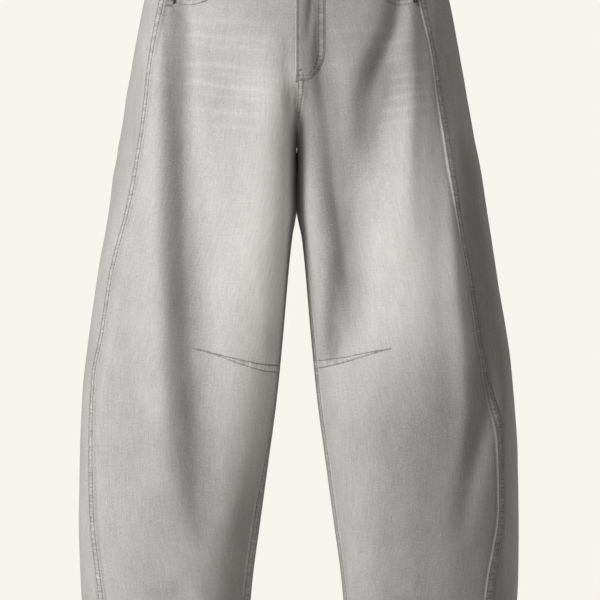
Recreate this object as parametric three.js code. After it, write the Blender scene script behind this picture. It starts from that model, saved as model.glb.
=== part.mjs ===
// Barrel-leg denim trousers, filled out as if worn, hollow and open at the waist and both hems.
// Millimetres, +Z up. The front faces -Y and the wearer's left is +X.
// The origin is the middle of the waistband's top edge.
import * as THREE from 'three';
import { mergeVertices } from 'three/addons/utils/BufferGeometryUtils.js';

// Cloth
const WALL = 1.8;
const HEM_WALL = 2.8;
const SEAM_GAP = 0.3;
const LAY_GAP = 0.35;

// Heights
const BAND_SEAM_Z = -40;
const CROTCH_Z = -299;
const HEM_FOLD_Z = -965;
const HEM_Z = -990;

// How many cloth facets run round each panel, the front's closer together towards the side
const FRONT_COLUMNS = 19;
const FRONT_CROWDING = 0.84;
const BACK_COLUMNS = 15;
const RING_SAMPLES = 160;
const SLOPE_STEP = 0.05;

// Levels of the cloth facets below the pocket and the yoke, closer together round the crotch
const PANEL_LEVELS = [
  -160, -185, -205, -222, -238, -252, -264, -274, -283, -290, -295, CROTCH_Z, -306,
  -320, -340, -364, -395, -430, -468, -506, -545, -584, -622, -660, -698, -736, -774, -812,
  -850, -890, -930, HEM_FOLD_Z + 1, HEM_FOLD_Z - 1, HEM_Z,
];

// Between these levels the columns keep their course and only those by the crotch move over
const CROTCH_ZONE = { top: -210, bottom: -380, hold: 5 };

// Sections of one half. outerR and outerL are the half's outermost reach on each side of the
// wearer, inner is its innermost reach: below zero the two halves run into each other and the
// middle plane parts them. front and back are the depths, mid the level of the widest point,
// and the two roundness columns run from 2, an ellipse, towards a square.
const SECTIONS = [
  { z: 0, outerR: 164, outerL: 164, inner: -164, front: -97, back: 106, mid: 4, roundIn: 2.2, roundOut: 2.2 },
  { z: -40, outerR: 172, outerL: 172, inner: -172, front: -103, back: 113, mid: 4, roundIn: 2.2, roundOut: 2.2 },
  { z: -105, outerR: 191, outerL: 191, inner: -191, front: -112, back: 128, mid: 5, roundIn: 2.25, roundOut: 2.25 },
  { z: -165, outerR: 202, outerL: 202, inner: -165, front: -117, back: 136, mid: 5, roundIn: 2.35, roundOut: 2.3 },
  { z: -205, outerR: 209, outerL: 209, inner: -87, front: -118, back: 137, mid: 5, roundIn: 2.6, roundOut: 2.3 },
  { z: -230, outerR: 214, outerL: 213, inner: -27, front: -118, back: 135, mid: 6, roundIn: 3.1, roundOut: 2.3 },
  { z: -252, outerR: 217, outerL: 217, inner: -9, front: -117, back: 131, mid: 7, roundIn: 3.5, roundOut: 2.3 },
  { z: -275, outerR: 221, outerL: 221, inner: -2, front: -116, back: 126, mid: 8, roundIn: 3.7, roundOut: 2.3 },
  { z: -290, outerR: 224, outerL: 224, inner: -0.25, front: -115, back: 123, mid: 8, roundIn: 3.8, roundOut: 2.3 },
  { z: CROTCH_Z, outerR: 225, outerL: 226, inner: SEAM_GAP / 2, front: -114, back: 121, mid: 8, roundIn: 3.8, roundOut: 2.3 },
  { z: -325, outerR: 230, outerL: 231, inner: 1.1, front: -113, back: 116, mid: 8, roundIn: 3.8, roundOut: 2.3 },
  { z: -359, outerR: 234, outerL: 236, inner: 2.2, front: -111, back: 109, mid: 6, roundIn: 3.8, roundOut: 2.3 },
  { z: -440, outerR: 247, outerL: 249, inner: 10, front: -106, back: 95, mid: 2, roundIn: 3.4, roundOut: 2.3 },
  { z: -530, outerR: 260, outerL: 263, inner: 17.8, front: -100, back: 83, mid: -4, roundIn: 2.8, roundOut: 2.3 },
  { z: -605, outerR: 268.5, outerL: 271.5, inner: 25.3, front: -93, back: 79, mid: -5, roundIn: 2.4, roundOut: 2.3 },
  { z: -680, outerR: 271.5, outerL: 276, inner: 35.3, front: -87, back: 77, mid: -4, roundIn: 2.3, roundOut: 2.25 },
  { z: -755, outerR: 272.5, outerL: 277.5, inner: 45.5, front: -82, back: 74, mid: -3, roundIn: 2.25, roundOut: 2.2 },
  { z: -830, outerR: 270.5, outerL: 277, inner: 55.5, front: -77, back: 70, mid: -2, roundIn: 2.2, roundOut: 2.15 },
  { z: -910, outerR: 263, outerL: 269, inner: 62, front: -72, back: 66, mid: -2, roundIn: 2.15, roundOut: 2.1 },
  { z: HEM_Z, outerR: 250, outerL: 254, inner: 67, front: -68, back: 62, mid: -2, roundIn: 2.1, roundOut: 2.1 },
];

// The side seam, shifted to the front: how far it lies from the middle, seen from the front.
const SIDE_SEAM = [
  { z: 0, seamR: 152, seamL: 142 },
  { z: -105, seamR: 167.5, seamL: 156 },
  { z: -181, seamR: 180, seamL: 174 },
  { z: -239, seamR: 187.5, seamL: 181 },
  { z: -296, seamR: 197, seamL: 188.5 },
  { z: -354, seamR: 207.5, seamL: 198 },
  { z: -445, seamR: 231, seamL: 216 },
  { z: -521, seamR: 243.5, seamL: 229.5 },
  { z: -579, seamR: 254.5, seamL: 241 },
  { z: -656, seamR: 257, seamL: 253 },
  { z: -740, seamR: 256, seamL: 255 },
  { z: -829, seamR: 247, seamL: 242.5 },
  { z: HEM_Z, seamR: 226, seamL: 224 },
];

// How far in front of the innermost point the inseam lies, seen from the front
const INSEAM_LEAD = [
  { z: 0, lead: 0 },
  { z: CROTCH_Z, lead: 0 },
  { z: -359, lead: 0.4 },
  { z: -440, lead: 3 },
  { z: HEM_Z, lead: 3 },
];

// The largest folds, one a row. face is the side of the leg, top, mid and end are the trough's
// distances from the middle plane on its way down from zTop to zEnd, and width is the trough's
// half width. ridge is the share of the depth that stands up beside it, outside where positive
// and inside where negative.
const FOLDS = [
  { leg: 'R', face: 'front', zTop: -125, zEnd: -300, top: 164, mid: 164, end: 162, width: 9, depth: 6, ridge: 0.4 },
  { leg: 'R', face: 'front', zTop: -215, zEnd: -800, top: 163, mid: 155, end: 144, width: 17, depth: 15, ridge: 0.35 },
  { leg: 'R', face: 'front', zTop: -620, zEnd: -860, top: 96, mid: 80, end: 92, width: 15, depth: 4.5, ridge: 0.3 },
  { leg: 'R', face: 'back', zTop: -285, zEnd: -420, top: 45, mid: 105, end: 165, width: 34, depth: 8, ridge: 0.4 },
  { leg: 'R', face: 'back', zTop: -380, zEnd: -800, top: 135, mid: 128, end: 150, width: 22, depth: 11, ridge: 0.4 },
  { leg: 'R', face: 'back', zTop: -560, zEnd: -930, top: 215, mid: 205, end: 186, width: 17, depth: 8, ridge: -0.3 },
  { leg: 'R', face: 'back', zTop: -640, zEnd: -900, top: 84, mid: 92, end: 108, width: 15, depth: 6, ridge: 0.4 },
  { leg: 'L', face: 'front', zTop: -228, zEnd: -520, top: 24, mid: 40, end: 66, width: 15, depth: 9, ridge: -0.5 },
  { leg: 'L', face: 'front', zTop: -270, zEnd: -790, top: 188, mid: 224, end: 206, width: 13, depth: 13, ridge: 0.4 },
  { leg: 'L', face: 'front', zTop: -127, zEnd: -330, top: 114, mid: 92, end: 84, width: 24, depth: 6, ridge: 0.4 },
  { leg: 'L', face: 'front', zTop: -640, zEnd: -900, top: 178, mid: 160, end: 168, width: 20, depth: 6, ridge: 0.3 },
  { leg: 'L', face: 'back', zTop: -290, zEnd: -430, top: 40, mid: 95, end: 160, width: 32, depth: 9, ridge: 0.4 },
  { leg: 'L', face: 'back', zTop: -400, zEnd: -760, top: 118, mid: 122, end: 138, width: 20, depth: 10, ridge: -0.3 },
  { leg: 'L', face: 'back', zTop: -520, zEnd: -900, top: 205, mid: 212, end: 190, width: 18, depth: 9, ridge: 0.35 },
  { leg: 'L', face: 'back', zTop: -680, zEnd: -940, top: 96, mid: 100, end: 118, width: 16, depth: 6, ridge: 0.3 },
];

// How a fold is shaped: the ridge's distance and width in half widths of the trough, and the
// shares of its length over which it deepens and runs out
const FOLD_SHAPE = { ridgeAway: 1.7, ridgeWidth: 1.1, deepens: 0.25, runsOut: 0.35 };

// A fold works fully where the outward direction turns this far to its face.
const FULLY_FACING = 0.6;

// Folds fade out towards the inner side of the thighs, where the two legs almost touch, and
// none takes the cloth more than this share of its way to the middle plane.
const FOLD_FADE = { from: 4, to: 32, middleShare: 0.5 };

// Front scoop pocket: distance from the middle and height of its edge
const SCOOP = [
  { x: 92, z: BAND_SEAM_Z },
  { x: 99, z: -66 },
  { x: 109, z: -88 },
  { x: 122, z: -100 },
  { x: 137, z: -103.5 },
  { x: 152, z: -101.5 },
  { x: 175, z: -97 },
];
const SCOOP_SPREAD = 1.12;
const FACING_INNER_X = 84;
const FACING_TOP_Z = BAND_SEAM_Z + 8;
const FACING_PAST_SEAM = 5;
const FACING_DEPTH = 22;
const FACING_WALL = 1.2;
const FACING_GAP = 0.9;
const RIVET_TO_SEAM = 10;
const RIVET_Z = -106.5;
const RIVET_RADIUS = 4;

// Back yoke: its lower seam falls from the side seam to the middle of the back
const YOKE_SIDE_Z = -76;
const YOKE_MIDDLE_Z = -118;
const YOKE_BOW = 1.15;

// Back patch pockets, measured along the cloth from the middle of the back
const PATCH = { nearMiddle: 40, width: 132, lowerNarrowing: 9, topZ: -130, height: 124, point: 18, wall: 1.3, gap: 0.9 };

// Fly, waistband and what they carry
const FLY = {
  foldX: -2.5, width: 33, curveTopZ: -165, endZ: -208, wall: 1.2, gap: 0.45, bluntness: 1.5, crowding: 0.8,
};
const ZIP = {
  halfWidth: 14, endZ: -186, gap: 0.5, tapeWall: 1, sliderHeight: 22, sliderWidth: 8, sliderWall: 2.6, sliderDrop: 4,
};
const BAND = { proud: 0.6, wall: 2.8, underlap: 34, stepEnd: 4, stepLength: 18, columns: 60, crowding: 0.35 };
const BUTTON = { x: 13, z: -20, radius: 8.5, height: 3.2 };
const LOOP = { width: 11, wall: 1.6 };
const LOOP_PROFILE = [
  { z: -1.5, out: 1 },
  { z: -5, out: 1 },
  { z: -9, out: 2.6 },
  { z: -18, out: 4 },
  { z: -30, out: 4.1 },
  { z: -41, out: 3.6 },
  { z: -47, out: 1.6 },
  { z: -51, out: 0.4 },
  { z: -56, out: 0.4 },
];
const LOOP_PLACES = [
  { name: 'loop_front_wearer_right', side: -1, face: 'front', x: 82 },
  { name: 'loop_front_wearer_left', side: 1, face: 'front', x: 82 },
  { name: 'loop_back_wearer_right', side: -1, face: 'back', x: 118 },
  { name: 'loop_back_wearer_left', side: 1, face: 'back', x: 118 },
  { name: 'loop_back_middle', side: 1, face: 'back', x: 0 },
];

const DENIM = { color: 0xbdbab9, roughness: 0.92, metalness: 0 };
const DENIM_INSIDE = { color: 0xa9a7a5, roughness: 0.94, metalness: 0 };
const ZIP_TAPE = { color: 0x8e8c8a, roughness: 0.8, metalness: 0 };
const METAL = { color: 0x5d5a57, roughness: 0.42, metalness: 0.9 };

const LEGS = {
  R: { key: 'R', side: -1, outer: 'outerR', seam: 'seamR', name: 'wearer_right' },
  L: { key: 'L', side: 1, outer: 'outerL', seam: 'seamL', name: 'wearer_left' },
};

const parts = new THREE.Group();

function clamp(value, low, high) {
  return Math.min(Math.max(value, low), high);
}

function smooth(from, to, value) {
  const t = clamp((value - from) / (to - from), 0, 1);
  return t * t * (3 - 2 * t);
}

// Slopes at the rows of a table, such that the curve through them never overshoots
function slopes(table, key, name) {
  const steps = [];
  for (let i = 0; i + 1 < table.length; i += 1) {
    steps.push((table[i + 1][name] - table[i][name]) / (table[i + 1][key] - table[i][key]));
  }
  return table.map((row, i) => {
    const before = steps[Math.max(i - 1, 0)];
    const after = steps[Math.min(i, steps.length - 1)];
    return before * after <= 0 ? 0 : (2 * before * after) / (before + after);
  });
}

// A smooth function of one column of a table whose key column runs one way
function curve(table, key, name) {
  const slope = slopes(table, key, name);
  const falling = table[1][key] < table[0][key];
  return (value) => {
    let i = 0;
    while (i + 2 < table.length && (falling ? value < table[i + 1][key] : value > table[i + 1][key])) {
      i += 1;
    }
    const span = table[i + 1][key] - table[i][key];
    const t = clamp((value - table[i][key]) / span, 0, 1);
    const t2 = t * t;
    const t3 = t2 * t;
    return (2 * t3 - 3 * t2 + 1) * table[i][name] + (t3 - 2 * t2 + t) * span * slope[i]
      + (3 * t2 - 2 * t3) * table[i + 1][name] + (t3 - t2) * span * slope[i + 1];
  };
}

const SECTION_COLUMNS = ['outerR', 'outerL', 'inner', 'front', 'back', 'mid', 'roundIn', 'roundOut'];
const sectionCurves = {};
for (const name of SECTION_COLUMNS) {
  sectionCurves[name] = curve(SECTIONS, 'z', name);
}
const seamCurves = { seamR: curve(SIDE_SEAM, 'z', 'seamR'), seamL: curve(SIDE_SEAM, 'z', 'seamL') };
const inseamLead = curve(INSEAM_LEAD, 'z', 'lead');
const scoopEdge = curve(SCOOP, 'x', 'z');

// The oval of one half at a height, in the half's own x, which grows away from the middle
function section(leg, z) {
  const outer = sectionCurves[leg.outer](z);
  const inner = Math.max(sectionCurves.inner(z), -outer);
  return {
    outer,
    inner,
    middleX: (outer + inner) / 2,
    halfWidth: (outer - inner) / 2,
    mid: sectionCurves.mid(z),
    front: sectionCurves.front(z),
    back: sectionCurves.back(z),
    roundIn: sectionCurves.roundIn(z),
    roundOut: sectionCurves.roundOut(z),
  };
}

function signedPower(value, power) {
  return Math.sign(value) * Math.abs(value) ** power;
}

// Point of the oval at an angle: 0 at the outer side, -90 degrees in front, 90 at the back
function ovalPoint(s, angle) {
  const c = Math.cos(angle);
  const round = c < 0 ? s.roundIn : s.roundOut;
  const depth = Math.sin(angle) < 0 ? s.mid - s.front : s.back - s.mid;
  return {
    x: s.middleX + s.halfWidth * signedPower(c, 2 / round),
    y: s.mid + depth * signedPower(Math.sin(angle), 2 / round),
  };
}

// The angles at which the half's cloth starts, in front, and ends, at the back
function ovalEnds(s, z) {
  const cut = s.inner < SEAM_GAP / 2 ? SEAM_GAP / 2 : s.inner + inseamLead(z);
  const reach = clamp((s.middleX - cut) / s.halfWidth, 0, 1);
  const angle = Math.PI - Math.acos(reach ** (s.roundIn / 2));
  const open = s.inner < SEAM_GAP / 2;
  return { start: -angle, end: open ? angle : 2 * Math.PI - angle };
}

// How far outside its oval a point lies: zero on it
function outside(leg, x, y, z) {
  const s = section(leg, z);
  const across = (x - s.middleX) / s.halfWidth;
  const depth = y < s.mid ? s.mid - s.front : s.back - s.mid;
  const along = (y - s.mid) / depth;
  const round = across < 0 ? s.roundIn : s.roundOut;
  return (Math.abs(across) ** round + Math.abs(along) ** round) ** (1 / round) - 1;
}

// The smooth form's outward direction
function outward(leg, p) {
  const h = SLOPE_STEP;
  const n = new THREE.Vector3(
    outside(leg, p.x + h, p.y, p.z) - outside(leg, p.x - h, p.y, p.z),
    outside(leg, p.x, p.y + h, p.z) - outside(leg, p.x, p.y - h, p.z),
    outside(leg, p.x, p.y, p.z + h) - outside(leg, p.x, p.y, p.z - h),
  );
  return n.normalize();
}

// How far one fold moves the cloth in or out
function foldDepth(fold, x, z) {
  const t = (fold.zTop - z) / (fold.zTop - fold.zEnd);
  if (t <= 0 || t >= 1) {
    return 0;
  }
  const at = fold.top * (1 - t) * (1 - 2 * t) + fold.mid * 4 * t * (1 - t) + fold.end * t * (2 * t - 1);
  const from = (x - at) / fold.width;
  const beside = (from - FOLD_SHAPE.ridgeAway * Math.sign(fold.ridge)) / FOLD_SHAPE.ridgeWidth;
  const along = smooth(0, FOLD_SHAPE.deepens, t) * smooth(1, 1 - FOLD_SHAPE.runsOut, t);
  return fold.depth * along * (Math.abs(fold.ridge) * Math.exp(-beside * beside) - Math.exp(-from * from));
}

// All folds of a leg together: those of a face work where the cloth turns to that face
function foldsAt(leg, p, n) {
  const s = section(leg, p.z);
  const frontShare = smooth(0, FULLY_FACING, -n.y);
  const backShare = smooth(0, FULLY_FACING, n.y);
  let sum = 0;
  for (const fold of FOLDS) {
    if (fold.leg === leg.key) {
      sum += (fold.face === 'front' ? frontShare : backShare) * foldDepth(fold, p.x, p.z);
    }
  }
  return sum * smooth(FOLD_FADE.from, FOLD_FADE.to, p.x - Math.max(s.inner, 0));
}

// A point of the cloth's outer face with its outward direction, in world x
function cloth(leg, x, y, z) {
  const base = new THREE.Vector3(x, y, z);
  const n = outward(leg, base);
  const room = n.x < 0 ? (FOLD_FADE.middleShare * Math.max(x - SEAM_GAP / 2, 0)) / -n.x : Infinity;
  const p = base.addScaledVector(n, Math.min(foldsAt(leg, base, n), room));
  return { p: new THREE.Vector3(p.x * leg.side, p.y, p.z), n: new THREE.Vector3(n.x * leg.side, n.y, n.z) };
}

// The half's cloth at one height as a line of points with lengths, and where the seam lies
const outlineCache = new Map();
function outline(leg, z) {
  const key = `${leg.key}${z.toFixed(3)}`;
  if (outlineCache.has(key)) {
    return outlineCache.get(key);
  }
  const s = section(leg, z);
  const ends = ovalEnds(s, z);
  const seamX = seamCurves[leg.seam](z);
  const line = { s, angles: [], lengths: [], seam: 0 };
  let last = null;
  let length = 0;
  for (let i = 0; i <= RING_SAMPLES; i += 1) {
    const angle = ends.start + (i / RING_SAMPLES) * (ends.end - ends.start);
    const p = ovalPoint(s, angle);
    const step = last ? Math.hypot(p.x - last.x, p.y - last.y) : 0;
    if (last && last.x < seamX && p.x >= seamX && angle < 0) {
      line.seam = length + (step * (seamX - last.x)) / (p.x - last.x);
    }
    length += step;
    line.angles.push(angle);
    line.lengths.push(length);
    last = p;
  }
  line.length = length;
  outlineCache.set(key, line);
  return line;
}

// The cloth at a height and a length round the half from where its front starts
function clothAtLength(leg, z, length) {
  const line = outline(leg, z);
  let i = 1;
  while (i < RING_SAMPLES && line.lengths[i] < length) {
    i += 1;
  }
  const t = (length - line.lengths[i - 1]) / (line.lengths[i] - line.lengths[i - 1]);
  const angle = line.angles[i - 1] + t * (line.angles[i] - line.angles[i - 1]);
  const p = ovalPoint(line.s, angle);
  return cloth(leg, p.x, p.y, z);
}

// The cloth in front or at the back, at a distance from the middle plane
function clothAtX(leg, face, x, z) {
  const s = section(leg, z);
  const across = clamp(Math.abs((x - s.middleX) / s.halfWidth), 0, 1);
  const round = x < s.middleX ? s.roundIn : s.roundOut;
  const depth = face === 'front' ? s.front - s.mid : s.back - s.mid;
  return cloth(leg, x, s.mid + depth * (1 - across ** round) ** (1 / round), z);
}

// The cloth in front, at a distance from the middle plane that may lie on either half
function frontAtX(x, z) {
  return clothAtX(x < 0 ? LEGS.R : LEGS.L, 'front', Math.abs(x), z);
}

// The same point of cloth, moved outward
function moved(point, distance) {
  return { p: point.p.clone().addScaledVector(point.n, distance), n: point.n };
}

// Pulls the edges of a grid of points in by half the seam gap
function trimEdges(grid) {
  const rows = grid.length;
  const columns = grid[0].length;
  const shift = (from, to) => to.p.clone().sub(from.p).setLength(SEAM_GAP / 2);
  const moves = grid.map((row) => row.map(() => new THREE.Vector3()));
  for (let r = 0; r < rows; r += 1) {
    moves[r][0].add(shift(grid[r][0], grid[r][1]));
    moves[r][columns - 1].add(shift(grid[r][columns - 1], grid[r][columns - 2]));
  }
  for (let c = 0; c < columns; c += 1) {
    moves[0][c].add(shift(grid[0][c], grid[1][c]));
    moves[rows - 1][c].add(shift(grid[rows - 1][c], grid[rows - 2][c]));
  }
  return grid.map((row, r) => row.map((point, c) => ({ p: point.p.clone().add(moves[r][c]), n: point.n })));
}

// A wall of cloth: the grid is its outer face, and wallAt gives how far in its inner face lies
function wallGeometry(grid, wallAt) {
  const rows = grid.length;
  const columns = grid[0].length;
  const positions = [];
  const faces = [];
  const push = (p) => positions.push(p.x, p.y, p.z);
  grid.forEach((row) => row.forEach((point) => push(point.p)));
  grid.forEach((row, r) => row.forEach((point, c) => push(moved(point, -wallAt(r, c)).p)));
  const outer = (r, c) => r * columns + c;
  const inner = (r, c) => rows * columns + outer(r, c);
  const quad = (a, b, c, d) => faces.push([a, b, c], [a, c, d]);
  const at = (i) => new THREE.Vector3(...positions.slice(3 * i, 3 * i + 3));
  const shortQuad = (a, b, c, d) => {
    if (at(a).distanceTo(at(c)) <= at(b).distanceTo(at(d))) {
      quad(a, b, c, d);
    } else {
      quad(b, c, d, a);
    }
  };
  for (let r = 0; r + 1 < rows; r += 1) {
    for (let c = 0; c + 1 < columns; c += 1) {
      shortQuad(outer(r, c), outer(r, c + 1), outer(r + 1, c + 1), outer(r + 1, c));
      shortQuad(inner(r, c), inner(r + 1, c), inner(r + 1, c + 1), inner(r, c + 1));
    }
    quad(outer(r, 0), outer(r + 1, 0), inner(r + 1, 0), inner(r, 0));
    quad(outer(r + 1, columns - 1), outer(r, columns - 1), inner(r, columns - 1), inner(r + 1, columns - 1));
  }
  for (let c = 0; c + 1 < columns; c += 1) {
    quad(outer(0, c + 1), outer(0, c), inner(0, c), inner(0, c + 1));
    quad(outer(rows - 1, c), outer(rows - 1, c + 1), inner(rows - 1, c + 1), inner(rows - 1, c));
  }
  const middle = grid[rows >> 1][columns >> 1];
  const across = grid[rows >> 1][(columns >> 1) - 1].p.clone().sub(middle.p).negate();
  const down = grid[(rows >> 1) - 1][columns >> 1].p.clone().sub(middle.p).negate();
  const facesOut = across.cross(down).dot(middle.n) > 0;
  const index = faces.flatMap(([a, b, c]) => (facesOut ? [a, b, c] : [a, c, b]));
  const geometry = new THREE.BufferGeometry();
  geometry.setAttribute('position', new THREE.Float32BufferAttribute(positions, 3));
  geometry.setIndex(index);
  geometry.computeVertexNormals();
  return geometry;
}

function add(name, geometry, finish) {
  const mesh = new THREE.Mesh(geometry, new THREE.MeshStandardMaterial(finish));
  mesh.name = name;
  parts.add(mesh);
  return mesh;
}

// How far from the side seam a column lies at a height. share runs from the seam to the other
// edge, and ends gives the length between them at any height.
function columnLength(share, z, ends) {
  const full = ends(z);
  const t = smooth(CROTCH_ZONE.top, CROTCH_ZONE.bottom, z);
  const inZone = z < CROTCH_ZONE.top && z > CROTCH_ZONE.bottom;
  const held = inZone ? (1 - t) * ends(CROTCH_ZONE.top) + t * ends(CROTCH_ZONE.bottom) : full;
  return held * share + (full - held) * share ** CROTCH_ZONE.hold;
}

function panelWall(grid) {
  return (r, c) => (grid[r][c].p.z < HEM_FOLD_Z ? HEM_WALL : WALL);
}

// Heights of a panel's rows under an upper edge: two evenly spread rows and then the common levels
function levelsUnder(topZ) {
  const first = PANEL_LEVELS[0];
  return [topZ, topZ + (first - topZ) / 3, topZ + ((first - topZ) * 2) / 3, ...PANEL_LEVELS];
}

// Front panel: from the middle front and inseam round to the side seam, cut out at the scoop
function frontPanel(leg) {
  const seamLength = (z) => outline(leg, z).seam;
  const point = (share, z) => clothAtLength(leg, z, seamLength(z) - columnLength(1 - share, z, seamLength));
  const columns = [];
  for (let c = 0; c <= FRONT_COLUMNS; c += 1) {
    const share = (c / FRONT_COLUMNS) ** FRONT_CROWDING;
    const x = Math.abs(point(share, BAND_SEAM_Z).p.x);
    const topZ = x > SCOOP[0].x ? scoopEdge(SCOOP[0].x + (x - SCOOP[0].x) * SCOOP_SPREAD) : BAND_SEAM_Z;
    columns.push(levelsUnder(topZ).map((z) => point(share, z)));
  }
  const grid = trimEdges(columns[0].map((unused, r) => columns.map((column) => column[r])));
  add(`front_${leg.name}`, wallGeometry(grid, panelWall(grid)), DENIM);
}

function yokeSeamZ(share) {
  return YOKE_SIDE_Z + (YOKE_MIDDLE_Z - YOKE_SIDE_Z) * share ** YOKE_BOW;
}

function backPoint(leg, share, z) {
  const backLength = (level) => outline(leg, level).length - outline(leg, level).seam;
  return clothAtLength(leg, z, outline(leg, z).seam + columnLength(share, z, backLength));
}

// Back panel: from the side seam round the back to the middle back and inseam, under the yoke
function backPanel(leg) {
  const columns = [];
  for (let c = 0; c <= BACK_COLUMNS; c += 1) {
    const share = c / BACK_COLUMNS;
    columns.push(levelsUnder(yokeSeamZ(share)).map((z) => backPoint(leg, share, z)));
  }
  const grid = trimEdges(columns[0].map((unused, r) => columns.map((column) => column[r])));
  add(`back_${leg.name}`, wallGeometry(grid, panelWall(grid)), DENIM);
}

function yoke(leg) {
  const columns = [];
  for (let c = 0; c <= BACK_COLUMNS; c += 1) {
    const share = c / BACK_COLUMNS;
    const low = yokeSeamZ(share);
    const levels = [BAND_SEAM_Z, (BAND_SEAM_Z + low) / 2, low];
    columns.push(levels.map((z) => backPoint(leg, share, z)));
  }
  const grid = trimEdges(columns[0].map((unused, r) => columns.map((column) => column[r])));
  add(`yoke_${leg.name}`, wallGeometry(grid, () => WALL), DENIM);
}

// Pocket facing: behind the scoop, from inside the opening's edge to just past the side seam
function pocketFacing(leg) {
  const steps = 12;
  const rows = 5;
  const inset = -(WALL + FACING_GAP);
  const lowZ = Math.min(...SCOOP.map((row) => row.z)) - FACING_DEPTH;
  const grid = [];
  for (let r = 0; r <= rows; r += 1) {
    const z = FACING_TOP_Z + (r / rows) * (lowZ - FACING_TOP_Z);
    const outerX = seamCurves[leg.seam](z) + FACING_PAST_SEAM;
    const row = [];
    for (let c = 0; c <= steps; c += 1) {
      const x = FACING_INNER_X + (c / steps) * (outerX - FACING_INNER_X);
      row.push(moved(clothAtX(leg, 'front', x, z), inset));
    }
    grid.push(row);
  }
  add(`facing_${leg.name}`, wallGeometry(trimEdges(grid), () => FACING_WALL), DENIM_INSIDE);
}

// Patch pocket on the seat, with its pointed lower edge
function backPocket(leg) {
  const columns = 12;
  const rows = 8;
  const grid = [];
  for (let r = 0; r <= rows; r += 1) {
    const row = [];
    for (let c = 0; c <= columns; c += 1) {
      const share = c / columns;
      const lowZ = PATCH.topZ - PATCH.height - PATCH.point * (1 - Math.abs(2 * share - 1));
      const z = PATCH.topZ + (r / rows) * (lowZ - PATCH.topZ);
      const narrowing = (PATCH.lowerNarrowing * r) / rows;
      const fromMiddle = PATCH.nearMiddle + narrowing + share * (PATCH.width - 2 * narrowing);
      row.push(moved(clothAtLength(leg, z, outline(leg, z).length - fromMiddle), PATCH.gap + PATCH.wall));
    }
    grid.push(row);
  }
  add(`back_pocket_${leg.name}`, wallGeometry(grid, () => PATCH.wall), DENIM);
}

// Fly front: straight at the fold edge, its other edge a straight line that ends in a quarter oval
function fly() {
  const columns = 6;
  const rows = 12;
  const grid = [];
  const topZ = BAND_SEAM_Z - SEAM_GAP;
  const lowZ = FLY.endZ + FLY.bluntness;
  for (let r = 0; r <= rows; r += 1) {
    const z = topZ + (r / rows) ** FLY.crowding * (lowZ - topZ);
    const fall = clamp((FLY.curveTopZ - z) / (FLY.curveTopZ - FLY.endZ), 0, 1);
    const edgeX = FLY.width * Math.sqrt(1 - fall * fall);
    const row = [];
    for (let c = 0; c <= columns; c += 1) {
      const x = FLY.foldX + (c / columns) * (edgeX - FLY.foldX);
      row.push(moved(frontAtX(x, z), FLY.gap + FLY.wall));
    }
    grid.push(row);
  }
  add('fly', wallGeometry(grid, () => FLY.wall), DENIM);
}

// Zip behind the fly: a flat tape with the chain, and the slider closed at its top
function zip() {
  const inset = -(WALL + ZIP.gap);
  const strip = (halfWidth, topZ, endZ, rows, distance) => {
    const grid = [];
    for (let r = 0; r <= rows; r += 1) {
      const z = topZ + (r / rows) * (endZ - topZ);
      grid.push([-1, -0.5, 0, 0.5, 1].map((share) => moved(frontAtX(share * halfWidth, z), distance)));
    }
    return grid;
  };
  const tape = strip(ZIP.halfWidth, BAND_SEAM_Z - SEAM_GAP, ZIP.endZ, 6, inset);
  add('zip_tape', wallGeometry(tape, () => ZIP.tapeWall), ZIP_TAPE);
  const sliderTop = BAND_SEAM_Z - ZIP.sliderDrop;
  const slider = strip(
    ZIP.sliderWidth / 2,
    sliderTop,
    sliderTop - ZIP.sliderHeight,
    3,
    inset - ZIP.tapeWall - LAY_GAP,
  );
  add('zip_slider', wallGeometry(slider, () => ZIP.sliderWall), METAL);
}

// A point of the waist's oval at an angle that runs the whole way round, 0 at the wearer's left
function waistPoint(angle, z) {
  const c = Math.cos(angle);
  const leg = c < 0 ? LEGS.R : LEGS.L;
  const s = section(leg, z);
  const depth = Math.sin(angle) < 0 ? s.mid - s.front : s.back - s.mid;
  const x = s.outer * Math.abs(c) ** (2 / s.roundOut);
  return cloth(leg, x, s.mid + depth * signedPower(Math.sin(angle), 2 / s.roundOut), z);
}

// The angle of a place in the waist's front, from its distance to the middle
function waistAngle(x, z) {
  const s = section(LEGS.L, z);
  return -Math.acos(signedPower(x / s.outer, s.roundOut / 2));
}

// Waistband: one strip from the underlap's end, round the back, to the end that laps over it
function waistband() {
  const underDepth = -(BAND.wall + LAY_GAP);
  const grid = [BAND_SEAM_Z + SEAM_GAP, BAND_SEAM_Z / 2, 0].map((z) => {
    const start = waistAngle(BAND.underlap, z);
    const end = waistAngle(FLY.foldX, z) - 2 * Math.PI;
    const row = [];
    for (let c = 0; c <= BAND.columns; c += 1) {
      const share = c / BAND.columns;
      const near = 0.5 - 0.5 * Math.cos(Math.PI * share);
      const turned = BAND.crowding * near + (1 - BAND.crowding) * share;
      const point = waistPoint(start + turned * (end - start), z);
      const stepX = FLY.foldX - BAND.stepEnd;
      const under = share < 0.5 ? smooth(stepX - BAND.stepLength, stepX, point.p.x) : 0;
      row.push(moved(point, BAND.proud + under * underDepth));
    }
    return row;
  });
  add('waistband', wallGeometry(grid, () => BAND.wall), DENIM);
}

function beltLoop(place) {
  const leg = place.side < 0 ? LEGS.R : LEGS.L;
  const grid = LOOP_PROFILE.map((row) => [-0.5, 0, 0.5].map((share) => {
    const x = place.x + share * LOOP.width;
    const point = clothAtX(x < 0 ? LEGS.R : leg, place.face, Math.abs(x), row.z);
    return moved(point, row.out + LOOP.wall);
  }));
  add(place.name, wallGeometry(grid, () => LOOP.wall), DENIM);
}

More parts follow.
